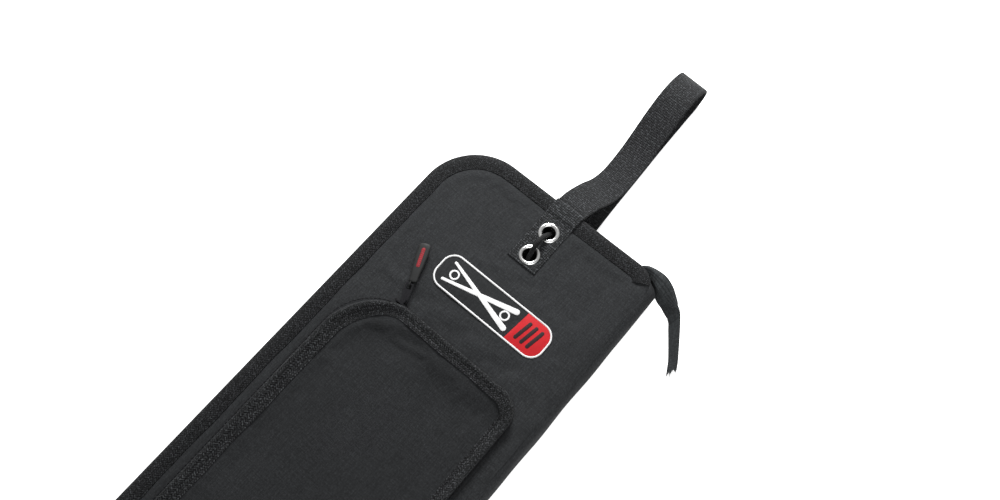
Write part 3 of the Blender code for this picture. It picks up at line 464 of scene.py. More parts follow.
def links_mesh(name, links, material, angle, flat_map=False):
    """One mesh of closed links, each given as rows of ring points and closed by its end rings."""
    verts, faces = [], []
    for link in links:
        base, count = len(verts), len(link[0])
        verts += [point for ring in link for point in ring]
        last = base + (len(link) - 1) * count
        for a in range(base, last, count):
            b = a + count
            faces += [[a + k, a + (k + 1) % count, b + (k + 1) % count, b + k] for k in range(count)]
        faces += [list(range(base, base + count)), list(range(last, last + count))]
    uvs = [tuple(verts[index][:2]) for face in faces for index in face] if flat_map else None
    return finish_mesh(name, verts, faces, uvs, material, angle)


def unit(vectors):
    """The vectors, or rows of vectors, at length 1."""
    return vectors / np.linalg.norm(vectors, axis=-1, keepdims=True)


def distances(points):
    """Distance along a line of points, from its start."""
    steps = np.linalg.norm(np.diff(np.asarray(points, float), axis=0), axis=1)
    return np.concatenate([[0.0], np.cumsum(steps)])


def along_line(values, travelled, distance):
    """A line's values at one distance from its start, or at each of several."""
    return np.array([np.interp(distance, travelled, column) for column in values.T]).T


def curve_through(points, spacing):
    """Evenly spaced points on a Catmull-Rom curve through given points of any width."""
    knots = np.asarray(points, float)
    knots = np.vstack([2 * knots[0] - knots[1], knots, 2 * knots[-1] - knots[-2]])
    t = np.arange(24)[:, None] / 24
    pieces = []
    for a, b, c, d in zip(knots, knots[1:], knots[2:], knots[3:]):
        pieces.append(0.5 * (2 * b + (c - a) * t + (2 * a - 5 * b + 4 * c - d) * t ** 2
                             + (3 * b - a - 3 * c + d) * t ** 3))
    fine = np.vstack(pieces + [knots[-2]])
    travelled = distances(fine[:, :3])
    steps = max(2, round(travelled[-1] / spacing))
    return along_line(fine, travelled, np.linspace(0, travelled[-1], steps + 1))


def ripple(x, y, size, seed):
    """Smooth ups and downs between about -1 and 1, with bumps about size mm across."""
    draw = np.random.RandomState(seed)
    total = np.zeros(np.broadcast(x, y).shape)
    for _ in range(7):
        angle, phase = draw.uniform(0, 2 * math.pi, 2)
        length = size * draw.uniform(1.3, 3.2)
        total += np.sin((x * math.cos(angle) + y * math.sin(angle)) * 2 * math.pi / length + phase)
    return total / 3.6


def dent(x, y, centre, radius):
    """1 at the centre, falling smoothly to 0 at about twice the radius."""
    return np.exp(-((x - centre[0]) ** 2 + (y - centre[1]) ** 2) / radius ** 2)


def smoothstep(value, low, high):
    share = np.clip((value - low) / (high - low), 0, 1)
    return share * share * (3 - 2 * share)


def line_points(first, last, spacing):
    count = max(1, round(math.dist(first, last) / spacing))
    share = np.arange(count)[:, None] / count
    return np.asarray(first, float) * (1 - share) + np.asarray(last, float) * share


def arc_points(centre, radius, start, end, spacing):
    count = max(4, round(math.radians(abs(end - start)) * radius / spacing))
    angles = np.radians(start + (end - start) * np.arange(count) / count)
    return np.stack([centre[0] + radius * np.cos(angles), centre[1] + radius * np.sin(angles)], axis=1)


def stations_of(points, closed):
    """Points, inward (left-hand) normals and distances of an anticlockwise line."""
    points = np.asarray(points, float)
    if closed:
        ahead, behind = np.roll(points, -1, axis=0), np.roll(points, 1, axis=0)
    else:
        ahead = np.vstack([points[1:], 2 * points[-1] - points[-2]])
        behind = np.vstack([2 * points[0] - points[1], points[:-1]])
    step = unit(ahead - behind)
    return points, np.stack([-step[:, 1], step[:, 0]], axis=1), distances(points)


def cover_edge(top, bottom_x, spacing=3.0):
    """The zipped edge from its first points, round the zip side, to the bottom spine end."""
    centre_x = LEFT + CORNER_RADIUS
    points = [np.asarray(top, float)]
    points.append(line_points(points[0][-1], (centre_x, TOP), spacing)[1:])
    points.append(arc_points((centre_x, TOP - CORNER_RADIUS), CORNER_RADIUS, 90, 180, spacing))
    points.append(line_points((LEFT, TOP - CORNER_RADIUS), (LEFT, BOTTOM + CORNER_RADIUS), spacing))
    points.append(arc_points((centre_x, BOTTOM + CORNER_RADIUS), CORNER_RADIUS, 180, 270, spacing))
    points.append(line_points((centre_x, BOTTOM), (bottom_x, BOTTOM), spacing))
    points.append(np.array([[bottom_x, BOTTOM]]))
    return stations_of(np.vstack(points), closed=False)


def binding_edge(spacing):
    """The bound edge, which starts part of the way round the spine's rounded corner."""
    centre = (COVER_RIGHT - SPINE_CORNER_RADIUS, TOP - SPINE_CORNER_RADIUS)
    corner = arc_points(centre, SPINE_CORNER_RADIUS, 26, 90, spacing * 0.7)
    return cover_edge(np.vstack([corner, [(centre[0], TOP)]]), COVER_RIGHT - 1.5, spacing)


def rounded_outline(low, high, radii, spacing):
    """Closed outline with radii for its +X+Y, -X+Y, -X-Y and +X-Y corners."""
    centres = [(high[0] - radii[0], high[1] - radii[0]), (low[0] + radii[1], high[1] - radii[1]),
               (low[0] + radii[2], low[1] + radii[2]), (high[0] - radii[3], low[1] + radii[3])]
    points = []
    for k in range(4):
        points.append(arc_points(centres[k], radii[k], 90 * k, 90 * k + 90, spacing))
        angle = math.radians(90 * k + 90)
        out = np.array([math.cos(angle), math.sin(angle)])
        ahead = (k + 1) % 4
        points.append(line_points(np.array(centres[k]) + out * radii[k],
                                  np.array(centres[ahead]) + out * radii[ahead], spacing))
    return stations_of(np.vstack(points), closed=True)


def z_of(side, height):
    """World z of a height measured inward from a cover's outer face."""
    return height if side == "back" else THICK - height


def place_rings(points, normals, inset, z):
    """Grid of (x, y, z) points at insets and heights along an edge."""
    x = points[:, :1] + normals[:, :1] * inset
    y = points[:, 1:] + normals[:, 1:] * inset
    return np.stack(np.broadcast_arrays(x, y, z), axis=2)


def sweep(name, stations, profile, material, closed=False, wobble=None):
    """Sweeps a section of (inset, z) points along an edge. The section is a closed loop."""
    points, normals, along = stations
    profile = np.asarray(profile, float)
    inset = profile[:, 0][None, :]
    z = np.repeat(profile[:, 1][None, :], len(points), axis=0)
    if wobble is not None:
        inset, z = wobble(along[:, None], inset, z)
    grid = place_rings(points, normals, inset, z)
    return lattice(name, grid, along, distances(profile), material, wrap_along=closed)


def strap(name, centre, across, normal, width, thickness, material, camber=0.0):
    """Flat webbing or tape along centre points, with rounded selvedges."""
    half = width / 2
    rim = np.array([0.0, 0.12, 0.35, 0.8])
    rounding = np.array([0.30, 0.62, 0.88, 1.0])
    offsets = np.concatenate([rim - half, np.linspace(-half + 2.2, half - 2.2, 9), half - rim[::-1]])
    full = np.concatenate([rounding, np.ones(9), rounding[::-1]])
    faces = []
    for sign in (1, -1):
        lift = sign * full * thickness / 2 + camber * (1 - (offsets / half) ** 2)
        faces.append(centre[:, None] + across[:, None] * offsets[:, None] + normal[:, None] * lift[:, None])
    return two_faced(name, *faces, distances(centre), offsets + half, material, angle=40.0)


def ribbon_frames(centre):
    """Across and normal directions of a strap that follows centre points without rolling."""
    along = unit(np.gradient(centre, axis=0))
    flat = np.cross(along, (0.0, 0.0, 1.0))
    flat[np.linalg.norm(flat, axis=1) < 0.2] = (1.0, 0.0, 0.0)
    across = unit(flat)
    return across, unit(np.cross(across, along))


def stitch_row(name, points, body, slot, material, up=1.0, length=2.3, pitch=3.1, radius=0.28):
    """A row of separate stitches on a body: each is a small bowed bead lying along the line."""
    travelled = distances(points)
    normal = np.array([0.0, 0.0, up])
    beads = []
    for start in np.arange(pitch / 2, travelled[-1] - pitch / 2, pitch):
        centre = along_line(points, travelled, start)
        step = along_line(points, travelled, start + 0.5) - centre
        along = step / (np.linalg.norm(step) + 1e-9)
        side = np.cross(normal, along)
        bead = []
        for share, full in STITCH_BEAD:
            middle = centre + along * share * length - normal * STITCH_SINK
            bead.append([middle + (side * math.cos(angle) * 1.15 + normal * math.sin(angle)) * radius * full
                         for angle in STITCH_ANGLES])
        beads.append(bead)
    place_piece(links_mesh(name, beads, material, 80), body, slot)


def turned(name, centre, profile, material):
    """A ring turned about an upright axis from a closed (radius, z) profile."""
    profile = np.asarray(profile, float)
    angles = np.linspace(0, 2 * math.pi, 96, endpoint=False)
    out = np.stack([np.cos(angles), np.sin(angles)], axis=1)
    grid = place_rings(np.tile(centre[:2], (len(angles), 1)), out, profile[:, 0], profile[:, 1])
    run = angles * profile[0, 0]
    return lattice(name, grid, run, distances(profile), material, wrap_along=True, angle=50)


def tube(name, points, radius, material, sides=16, braid=0.0):
    """A round cord along the points, with a braid's raised crossing strands if asked."""
    strands, lay = 4, 5.0
    along = unit(np.gradient(points, axis=0))
    side = np.zeros_like(points)
    side[0] = unit(np.cross(along[0], (0.3, 0.1, 1.0)))
    for k in range(1, len(points)):
        side[k] = unit(side[k - 1] - along[k] * np.dot(side[k - 1], along[k]))
    other = np.cross(along, side)
    travelled = distances(points)
    angles = np.linspace(0, 2 * math.pi, sides, endpoint=False)
    turn = travelled[:, None] * 2 * math.pi / (lay * strands)
    ridge = np.maximum(np.cos(strands * (angles + turn)), np.cos(strands * (angles - turn)))
    reach = (radius * (1 - braid + braid * ridge))[:, :, None]
    grid = points[:, None] + reach * (side[:, None] * np.cos(angles)[:, None]
                                      + other[:, None] * np.sin(angles)[:, None])
    return lattice(name, grid, travelled, angles * radius, material, caps="fan", angle=60)


def place_piece(obj, body, slot, *nodes):
    """Puts the piece on its body and hides the CAD nodes it stands for; the slot it is given is not used."""
    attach(obj, body)
    if nodes:
        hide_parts(*nodes)


def make_coil(name, stations, loop, row, size, material):
    """Coil links along an edge: row is (pitch, start, margin) and loop one link's (inset, z) points.

    size holds a link's outer and inner half widths, the inset that its ends narrow toward and
    how much of that narrowing its height takes.
    """
    points, normals, travelled = stations
    pitch, first, margin = row
    wide, narrow, seat, ease = size
    middle = (loop[0][1] + loop[2][1]) / 2
    links = []
    for start in np.arange(first + margin, travelled[-1] - margin, pitch):
        centre, inward = along_line(points, travelled, start), along_line(normals, travelled, start)
        forward = np.array([inward[1], -inward[0]])
        link = []
        for offset, shrink in ((-wide, 0.75), (-narrow, 1.0), (narrow, 1.0), (wide, 0.75)):
            height = 1 - ease * (1 - shrink)
            link.append([(*(centre + inward * (seat + (inset - seat) * shrink) + forward * offset),
                          middle + (z - middle) * height) for inset, z in loop])
        links.append(link)
    return links_mesh(name, links, material, 35)


# ---------------------------------------------------------------- padded covers
def edge_distance(x, y):
    """Distance inward from the bound edge."""
    result = np.minimum(x - LEFT, TOP - np.abs(y))
    corners = ((LEFT + CORNER_RADIUS, -1, CORNER_RADIUS, np.abs(y)),
               (COVER_RIGHT - SPINE_CORNER_RADIUS, 1, SPINE_CORNER_RADIUS, y))
    for centre_x, side, radius, height in corners:
        dx, dy = side * (x - centre_x), height - (TOP - radius)
        result = np.where((dx > 0) & (dy > 0), radius - np.hypot(dx, dy), result)
    return result


def left_edge(y, inset):
    """X of the zip side's edge, moved inward."""
    centre_y = TOP - CORNER_RADIUS
    radius = CORNER_RADIUS - inset
    reach = np.clip(np.abs(y) - centre_y, 0, radius)
    return LEFT + CORNER_RADIUS - np.sqrt(radius ** 2 - reach ** 2)


def spine_edge(y, right):
    """X of the spine's edge, which rounds off at its top."""
    reach = np.clip(y - (TOP - SPINE_CORNER_RADIUS), 0, SPINE_CORNER_RADIUS)
    return right - SPINE_CORNER_RADIUS + np.sqrt(SPINE_CORNER_RADIUS ** 2 - reach ** 2)


def cover_grid(inset, spacing, right):
    """Rows of (x, y) over a cover's outline, moved inward from its zipped edge."""
    rows = round((TOP - BOTTOM) / spacing)
    turn = np.linspace(-1, 1, rows + 1)
    y = (TOP - inset) * (0.82 * turn + 0.18 * np.sin(turn * math.pi / 2))
    columns = np.linspace(0, 1, round((right - LEFT) / spacing) + 1)
    columns = 0.9 * columns + 0.1 * (1 - np.cos(columns * math.pi)) / 2
    left, far = left_edge(y, inset), spine_edge(y, right)
    x = left[:, None] + (far - left)[:, None] * columns[None, :]
    return x, np.repeat(y[:, None], len(columns), axis=1)


def cover_outer_height(side, x, y):
    """Height inward from the nominal outer face: the padding's soft crown and its slack."""
    edge = edge_distance(x, y)
    under_binding = 0.95 * (1 - smoothstep(edge, BINDING_WIDTH - 2.5, BINDING_WIDTH + 5))
    spine = 1.3 * smoothstep(x, COVER_RIGHT - 6, COVER_RIGHT) ** 2
    crown = smoothstep(edge, BINDING_WIDTH, 60)
    if side == "back":
        slack = 0.28 + 0.25 * ripple(x, y, 55, 3)
        return np.maximum(0.02, slack * crown) + under_binding + spine
    above_pocket = np.exp(-((y - POCKET_HIGH[1] - 4) / 9) ** 2)
    pocket_seat = 0.45 * above_pocket * smoothstep(POCKET_HIGH[0] + 8 - x, 0, 14)
    slack = 0.40 * ripple(x, y, 38, 5) + 0.20 * ripple(x, y, 15, 8)
    pull = 0.5 * dent(x, y, ((TAB_LOW[0] + TAB_HIGH[0]) / 2, TAB_LOW[1]), 17)
    return under_binding + spine + pocket_seat + pull - crown * (0.55 + slack)


def box_distance(x, y, low, high):
    """Distance outside a box, seen from above."""
    return np.hypot(*(np.maximum(np.abs(place - (first + last) / 2) - (last - first) / 2, 0)
                      for place, first, last in zip((x, y), low, high)))


def make_cover_panel(side, materials):
    """Outer fabric over its foam, as one padded panel."""
    x, y = cover_grid(PANEL_INSET, 3.2, COVER_RIGHT)
    face = np.stack([x, y, z_of(side, cover_outer_height(side, x, y))], axis=2)
    if side == "front":
        held = 1 - smoothstep(np.minimum(edge_distance(x, y), COVER_RIGHT - x), 13, 24)
        for low, high in ((BADGE_LOW, BADGE_HIGH), (TAB_LOW, TAB_HIGH), (POCKET_LOW, POCKET_HIGH)):
            held = np.maximum(held, 1 - smoothstep(box_distance(x, y, low, high), 3, 12))
        face = settle("cover_panel_rest", face, held, 0.010, 18, 1.1)
    back = np.stack([x, y, np.full_like(x, z_of(side, PADDING_DEPTH))], axis=2)
    panel = plan_panel(f"{side}_cover_panel", face, back, x, y, materials["cover"])
    if side == "front":
        pierce_for_eyelets(panel)
    place_piece(panel, COVER_BODY[side], "cover_fabric", f"{side}_shell", f"{side}_foam")


def declare_sheet(face):
    """Turns a face's points into metres and does nothing more with them."""
    face = np.asarray(face) * MM


def pierce_for_eyelets(obj):
    for name in EYELETS:
        cut_hole(obj, box_centre(name), CLOTH_HOLE_RADIUS)


def make_lining(side, materials):
    x, y = cover_grid(PANEL_INSET, 5.0, COVER_RIGHT - 0.4)
    ease = 0.16 * ripple(x, y, 30, 11 if side == "back" else 13)
    height = LINING_HEIGHT - 0.05 + np.minimum(ease, 0.25)
    face, back = (np.stack([x, y, z_of(side, height - depth)], axis=2) for depth in (0.0, 0.55))
    lining = plan_panel(f"{side}_lining_cloth", face, back, x, y, materials["lining"])
    if side == "front":
        pierce_for_eyelets(lining)
    place_piece(lining, COVER_BODY[side], "lining_fabric", f"{side}_lining")
    declare_sheet(face)


def binding_profile(side):
    """Section of the folded tape: its outer face, then back along its inner face."""
    proud = 0.45 if side == "front" else 0.0
    wide, last = BINDING_WIDTH, BINDING_HEIGHT
    outer = np.array([
        (wide, 0.55), (wide - 0.5, 0.20 - 0.3 * proud), (wide - 1.7, 0.30 - 0.2 * proud),
        (wide - 3.2, 0.08 - 0.7 * proud), (7.0, 0.02 - proud), (4.2, 0.12 - 0.7 * proud),
        (2.2, 0.45), (0.9, 1.05), (0.25, 1.9), (0.0, last / 2), (0.25, last - 1.7), (0.9, last - 0.95),
        (2.2, last - 0.40), (4.5, last - 0.08), (8.0, last), (wide - 2.0, last - 0.05), (wide, last - 0.1)])
    step = unit(np.gradient(outer, axis=0))
    inner = outer + np.stack([-step[:, 1], step[:, 0]], axis=1) * -BINDING_WALL
    profile = np.vstack([outer, inner[::-1]])
    profile[:, 1] = z_of(side, profile[:, 1])
    return profile


def make_binding(side, materials):
    seed = 21 if side == "front" else 22

    def pucker(along, inset, z):
        """The tape draws in a little between stitches and is never quite even in width."""
        soft = 0.45 * ripple(along, 0 * along, 26, seed) * (inset / BINDING_WIDTH)
        lift = 0.16 * ripple(along, inset, 9, seed + 4) * np.exp(-((inset - 6) / 4) ** 2)
        return inset + soft, z + (lift if side == "front" else np.maximum(lift, 0))

    binding = sweep(f"{side}_binding_tape", binding_edge(1.8), binding_profile(side), materials["binding"],
                    wobble=pucker)
    place_piece(binding, COVER_BODY[side], "binding_tape", f"{side}_binding")
    points, normals, _ = binding_edge(2.0)
    line = points + normals * (BINDING_WIDTH - 1.7)
    outer, inner = 0.3 if side == "back" else 0.12, BINDING_HEIGHT - 0.1
    for face, height, up in (("outer", outer, OUTWARD[side]), ("inner", inner, -OUTWARD[side])):
        z = np.full((len(line), 1), z_of(side, height))
        stitch_row(f"{side}_binding_{face}_stitches", np.hstack([line, z]), COVER_BODY[side], "binding_tape",
                   materials["seam"], up)


def make_spine(materials):
    """One fabric panel from cover to cover, curved between them in the closed pose."""
    low, high = BOTTOM + 1.0, TOP - SPINE_CORNER_RADIUS + 5.0
    share = np.linspace(0, 1, 160)
    angles = np.linspace(0, math.pi, 17)
    bulge = np.sin(angles)[None, :]
    y = low + (high - low + 4.2 * (1 - bulge)) * share[:, None]
    foot = np.sqrt(np.clip(1 - (np.clip(low + 5 - y, 0, 5) / 9) ** 2, 0.02, 1))
    slack = 0.30 * ripple(y, 40 * angles[None, :], 30, 31) * bulge ** 2
    start = spine_edge(y - 5.0 * bulge, COVER_RIGHT) - 0.6
    faces = []
    for offset in (0.0, -0.9):
        reach = (HINGE_X - 0.3 - COVER_RIGHT + 0.6 + offset) * foot * bulge
        z = np.tile(MID_Z - np.cos(angles) * (MID_Z - 0.9 + offset), (len(y), 1))
        faces.append(np.stack([start + reach + slack * foot, y, z], axis=2))
    spine = two_faced("spine_panel", *faces, (high - low) * share, angles * 9.0, materials["cover"])
    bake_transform(spine)
    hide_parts("back_spine_half", "front_spine_half")


# ---------------------------------------------------------------- main zip
def make_main_zip(materials):
    """A tape strip on each cover, and coil links that mesh with the other cover's row."""
    top = [(COVER_RIGHT - SPINE_CORNER_RADIUS - 0.5, TOP)]
    bottom_x = box_mm("zip_bottom_stop")[0][0] - 0.3
    low, high, pitch = BINDING_HEIGHT - 1.4, MID_Z - 1.0, 2.4
    for side in SIDES:
        profile = [(3.4, z_of(side, low)), (2.6, z_of(side, low + 1.2)), (2.5, z_of(side, high)),
                   (3.2, z_of(side, high)), (3.3, z_of(side, low + 1.2)), (4.1, z_of(side, low))]
        tape = sweep(f"{side}_zip_tape_strip", cover_edge(top, bottom_x), profile, materials["tape"])
        place_piece(tape, COVER_BODY[side], "zip_tape", f"{side}_zip_tape")
        root, tip = z_of(side, MID_Z - 2.4), z_of(side, MID_Z + 0.9)
        loop = [(1.7, root), (1.5, (root + tip) / 2), (1.9, tip), (3.0, tip + (root - tip) * 0.06),
                (4.1, tip), (4.5, (root + tip) / 2), (4.3, root)]
        shift = 0.0 if side == "back" else pitch / 2
        coil = make_coil(f"{side}_zip_coil", cover_edge(top, bottom_x, 1.0), loop, (pitch, shift, 0.6),
                         (0.48, 0.29, 3.0, 0.1), materials["coil"])
        place_piece(coil, COVER_BODY[side], "zip_coil", f"{side}_zip_teeth")


def tail_rails(pivot):
    """Selvedge, crest of the upper leaf, fold and lower edge of the folded tape.

    Each row crosses the tape once: x and y from the tail's hinge, z from the floor.
    """
    over_corner = [[(-17.5, -5.5, 17.0), (-17.5, -5.5, 15.5), (-17.5, -6.0, 12.0), (-17.5, -6.0, 7.0)],
                   [(-10.5, 1.0, 18.0), (-9.5, -0.5, 19.5), (-5.0, -4.5, 17.0), (-4.0, -5.5, 10.5)],
                   [(2.0, 2.5, 20.0), (2.0, -0.5, 21.5), (5.0, -8.5, 18.5), (9.0, -13.5, 10.5)],
                   [(10.5, 1.0, 18.0), (10.0, -1.5, 19.0), (12.0, -10.0, 16.5), (15.0, -15.0, 8.5)],
                   [(17.0, -2.0, 14.5), (16.5, -4.0, 15.5), (18.5, -10.0, 13.5), (21.5, -17.5, 7.0)],
                   [(23.5, -7.0, 9.5), (24.0, -7.0, 11.0), (24.5, -8.0, 11.5), (25.5, -18.5, 6.5)]]
    folded = [[(22.5, -16.0, 5.5), (26.5, -9.5, 8.5), (27.5, -9.0, 10.0), (26.5, -19.5, 6.0)],
              [(27.5, -21.0, 4.0), (31.5, -15.5, 6.5), (32.5, -14.5, 7.5), (27.0, -21.0, 5.0)],
              [(41.0, -38.0, 1.0), (45.5, -35.0, 1.5), (46.5, -34.5, 2.5), (41.0, -39.0, 2.0)],
              [(44.5, -44.0, 0.8), (48.5, -40.5, 0.8), (49.5, -39.5, 1.8), (45.0, -45.5, 1.6)]]
    return np.array(over_corner + folded) + (pivot[0], pivot[1], 0.0)


def make_zip_tail(materials):
    """The tape's loose end: two leaves that open over the corner, fold together and end frayed."""
    pivot = joint_place("tail_swing")
    count = 72
    rails = []
    for rail in tail_rails(np.array(pivot) / MM).transpose(1, 0, 2):
        rail = curve_through(rail, 1.0)
        rails.append(along_line(rail, distances(rail) / distances(rail)[-1], np.linspace(0, 1, count)))
    columns = []
    for first, last, steps in zip(rails, rails[1:], (3, 7, 8)):
        columns += [first + (last - first) * k / steps for k in range(steps)]
    columns.append(rails[-1])
    sheet = np.stack(columns, axis=1)
    width = distances(sheet[count // 2])
    along = distances(rails[2])
    fray = np.random.RandomState(7).uniform(-1.6, 1.6, len(columns))
    ahead = unit(sheet[-1] - sheet[-4])
    slant = np.linspace(0, 5.5, len(columns)) * (np.arange(len(columns)) >= 10)
    for back, weight in ((1, 1.0), (2, 0.6), (3, 0.25)):
        sheet[-back] += ahead * ((fray + slant) * weight)[:, None]
    normal = np.cross(np.gradient(sheet, axis=0), np.gradient(sheet, axis=1))
    normal /= np.linalg.norm(normal, axis=2)[:, :, None] + 1e-9
    half = normal * (0.40 + 0.10 * np.cos(width * 2 * math.pi / 2.6)[None, :, None])
    tail = two_faced("zip_tail_tape", sheet + half, sheet - half, along, width, materials["tail"], 50)
    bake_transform(tail)
    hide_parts("zip_tail_root", "zip_tail")
    make_fray(sheet, ahead, materials)


def make_fray(sheet, ahead, materials):
    """Loose threads at the tail's cut end."""
    draw = np.random.RandomState(9)
    threads = []
    for column in range(10, sheet.shape[1]):
        for _ in range(2):
            start = sheet[-1, column] - ahead[column] * 1.0 + draw.uniform(-0.3, 0.3, 3)
            bend = draw.uniform(-0.8, 0.8, 3) * (1, 1, 0.2)
            length = draw.uniform(1.6, 3.4)
            rings = []
            for k, share in enumerate((0.0, 0.35, 0.7, 1.0)):
                point = start + ahead[column] * length * share + bend * share * share
                point[2] = max(point[2], 0.35)
                radius = 0.16 - 0.02 * k
                rings.append([point + (radius, 0, 0), point + (0, radius, 0.6 * radius),
                              point + (-radius, 0, 0), point + (0, -radius, 0.6 * radius)])
            threads.append(rings)
    place_piece(links_mesh("zip_tail_fray", threads, materials["seam"], 80), "zip_tail", "zip_tape")


# ---------------------------------------------------------------- eyelets, tab and tom cord
def make_eyelet_tab(materials):
    """Webbing under the eyelets that runs over the binding and turns down the top edge."""
    seat = TAB_HIGH[2] - 0.5
    y, z = curve_through([
        (TAB_LOW[1], seat), (TAB_LOW[1] + 20, seat), (TOP - 14.5, seat), (TOP - 11, seat + 0.95),
        (TOP - 4, seat + 1.0), (TOP - 0.6, seat + 0.8), (TOP + 0.9, seat - 0.5),
        (TOP + 1.3, seat - 3.4)], 1.0).T
    centre = np.stack([np.full_like(y, (TAB_LOW[0] + TAB_HIGH[0]) / 2), y, z], axis=1)
    across = np.tile((1.0, 0.0, 0.0), (len(y), 1))
    normal = unit(np.cross(across, np.gradient(centre, axis=0)))
    width = TAB_HIGH[0] - TAB_LOW[0]
    tab = strap("eyelet_tab_webbing", centre, across, normal, width, 1.2, materials["tab"], 0.12)
    for name in EYELETS:
        low, high = box_mm(name)
        cut_hole(tab, (low + high) / 2, (high[0] - low[0]) / 2 - 1.2)
    place_piece(tab, "front_cover", "webbing", "eyelet_tab")
    inset = 2.0
    left, right, low_y, high_y = TAB_LOW[0] + inset, TAB_HIGH[0] - inset, TAB_LOW[1] + inset, TOP - 3.0
    corners = [(left, high_y), (left, low_y), (right, low_y), (right, high_y), (left, high_y)]
    line = np.vstack([line_points(a, b, 1.0) for a, b in zip(corners, corners[1:])] + [[corners[-1]]])
    rise = np.interp(line[:, 1], y[:-3], z[:-3]) + 0.68
    stitch_row("eyelet_tab_stitches", np.hstack([line, rise[:, None]]), "front_cover", "webbing",
               materials["seam"], length=2.0, pitch=2.7, radius=0.25)


def cut_hole(obj, centre, radius):
    """Cuts an upright round hole through a finished piece."""
    bm = bmesh.new()
    size = {"radius1": radius * MM, "radius2": radius * MM, "depth": 60 * MM}
    bmesh.ops.create_cone(bm, cap_ends=True, segments=48, **size)
    mesh = bpy.data.meshes.new("hole")
    bm.to_mesh(mesh)
    bm.free()
    cutter = link_object("hole", mesh)
    cutter.location = (centre[0] * MM, centre[1] * MM, centre[2] * MM)
    modifier = obj.modifiers.new("hole", "BOOLEAN")
    modifier.operation = "DIFFERENCE"
    modifier.object = cutter
    modifier.solver = "EXACT"
    bpy.context.view_layer.update()
    evaluated = obj.evaluated_get(bpy.context.evaluated_depsgraph_get())
    cut = bpy.data.meshes.new_from_object(evaluated)
    obj.modifiers.clear()
    obj.data = cut
    bpy.data.objects.remove(cutter)


def make_eyelets(materials):
    """Rolled flanges on the outside that run down into the barrels."""
    for name in EYELETS:
        low, high = box_mm(name)
        flange = (high[0] - low[0]) / 2 + 0.1
        seat, bore = high[2] - 0.85, 4.95
        profile = [(5.25, low[2]), (5.2, seat - 1.6), (bore + 0.1, seat - 0.6)]
        middle, half = (bore + flange) / 2, (flange - bore) / 2
        for angle in range(180, -1, -12):
            a = math.radians(angle)
            profile.append((middle + half * math.cos(a), seat + 1.35 * math.sin(a) ** 0.85))
        profile += [(flange - 0.3, seat - 0.25), (5.75, seat - 0.3), (5.7, low[2])]
        ring = turned(f"{name}_ring", (low + high) / 2, profile, materials["nickel"])
        place_piece(ring, "front_cover", "plated_metal", name)


def tom_cord_route():
    """Points (x, y, height inward from the front cover's face) from the knot and back."""
    route = [
        (6.4, 98.0, 7.8), (2.2, 108.0, 7.3), (-0.6, 122.0, 7.2), (-0.6, 140.0, 7.4), (1.8, 156.0, 8.4),
        (4.6, 169.0, 9.9), (5.5, 176.0, 10.5), (5.5, 182.2, 10.5), (5.5, 187.0, 9.2), (5.5, 190.6, 6.0),
        (5.5, 193.7, 1.3), (5.5, 196.8, -3.4), (5.5, 201.1, -6.8), (5.5, 206.5, -6.8), (5.5, 210.8, -3.4),
        (5.5, 213.9, 1.3), (5.5, 217.0, 6.0), (5.5, 220.6, 9.2), (5.5, 225.2, 10.4), (8.4, 230.9, 10.4),
        (15.0, 233.4, 10.4), (21.6, 230.9, 10.3), (24.4, 225.0, 10.1), (24.7, 214.0, 9.3),
        (25.2, 196.0, 7.9), (25.6, 176.0, 7.2), (26.2, 154.0, 7.2), (26.0, 132.0, 7.2), (24.6, 116.0, 7.2),
        (22.2, 105.0, 7.4), (18.6, 98.0, 7.8)]
    return [(x, y, z_of("front", height)) for x, y, height in route]


def make_tom_cord(materials):
    path = curve_through(tom_cord_route(), 0.9)
    cord = tube("tom_cord_braid", path, CORD_RADIUS, materials["cord"], sides=24, braid=0.07)
    place_piece(cord, "front_cover", "cord", "tom_cord")
    centre = box_centre("tom_cord_knot")
    t = np.linspace(0, 2 * math.pi, 140)
    loops = np.stack([
        centre[0] + 5.6 * (np.sin(t) + 0.55 * np.sin(2 * t)) / 1.45,
        centre[1] + 4.0 * (np.cos(t) - 0.9 * np.cos(2 * t)) / 1.6,
        centre[2] - 1.5 * np.sin(3 * t)], axis=1)
    knot = tube("tom_cord_overhand_knot", loops[:-4], CORD_RADIUS * 0.95, materials["cord"], 20, 0.07)
    place_piece(knot, "front_cover", "cord", "tom_cord_knot")


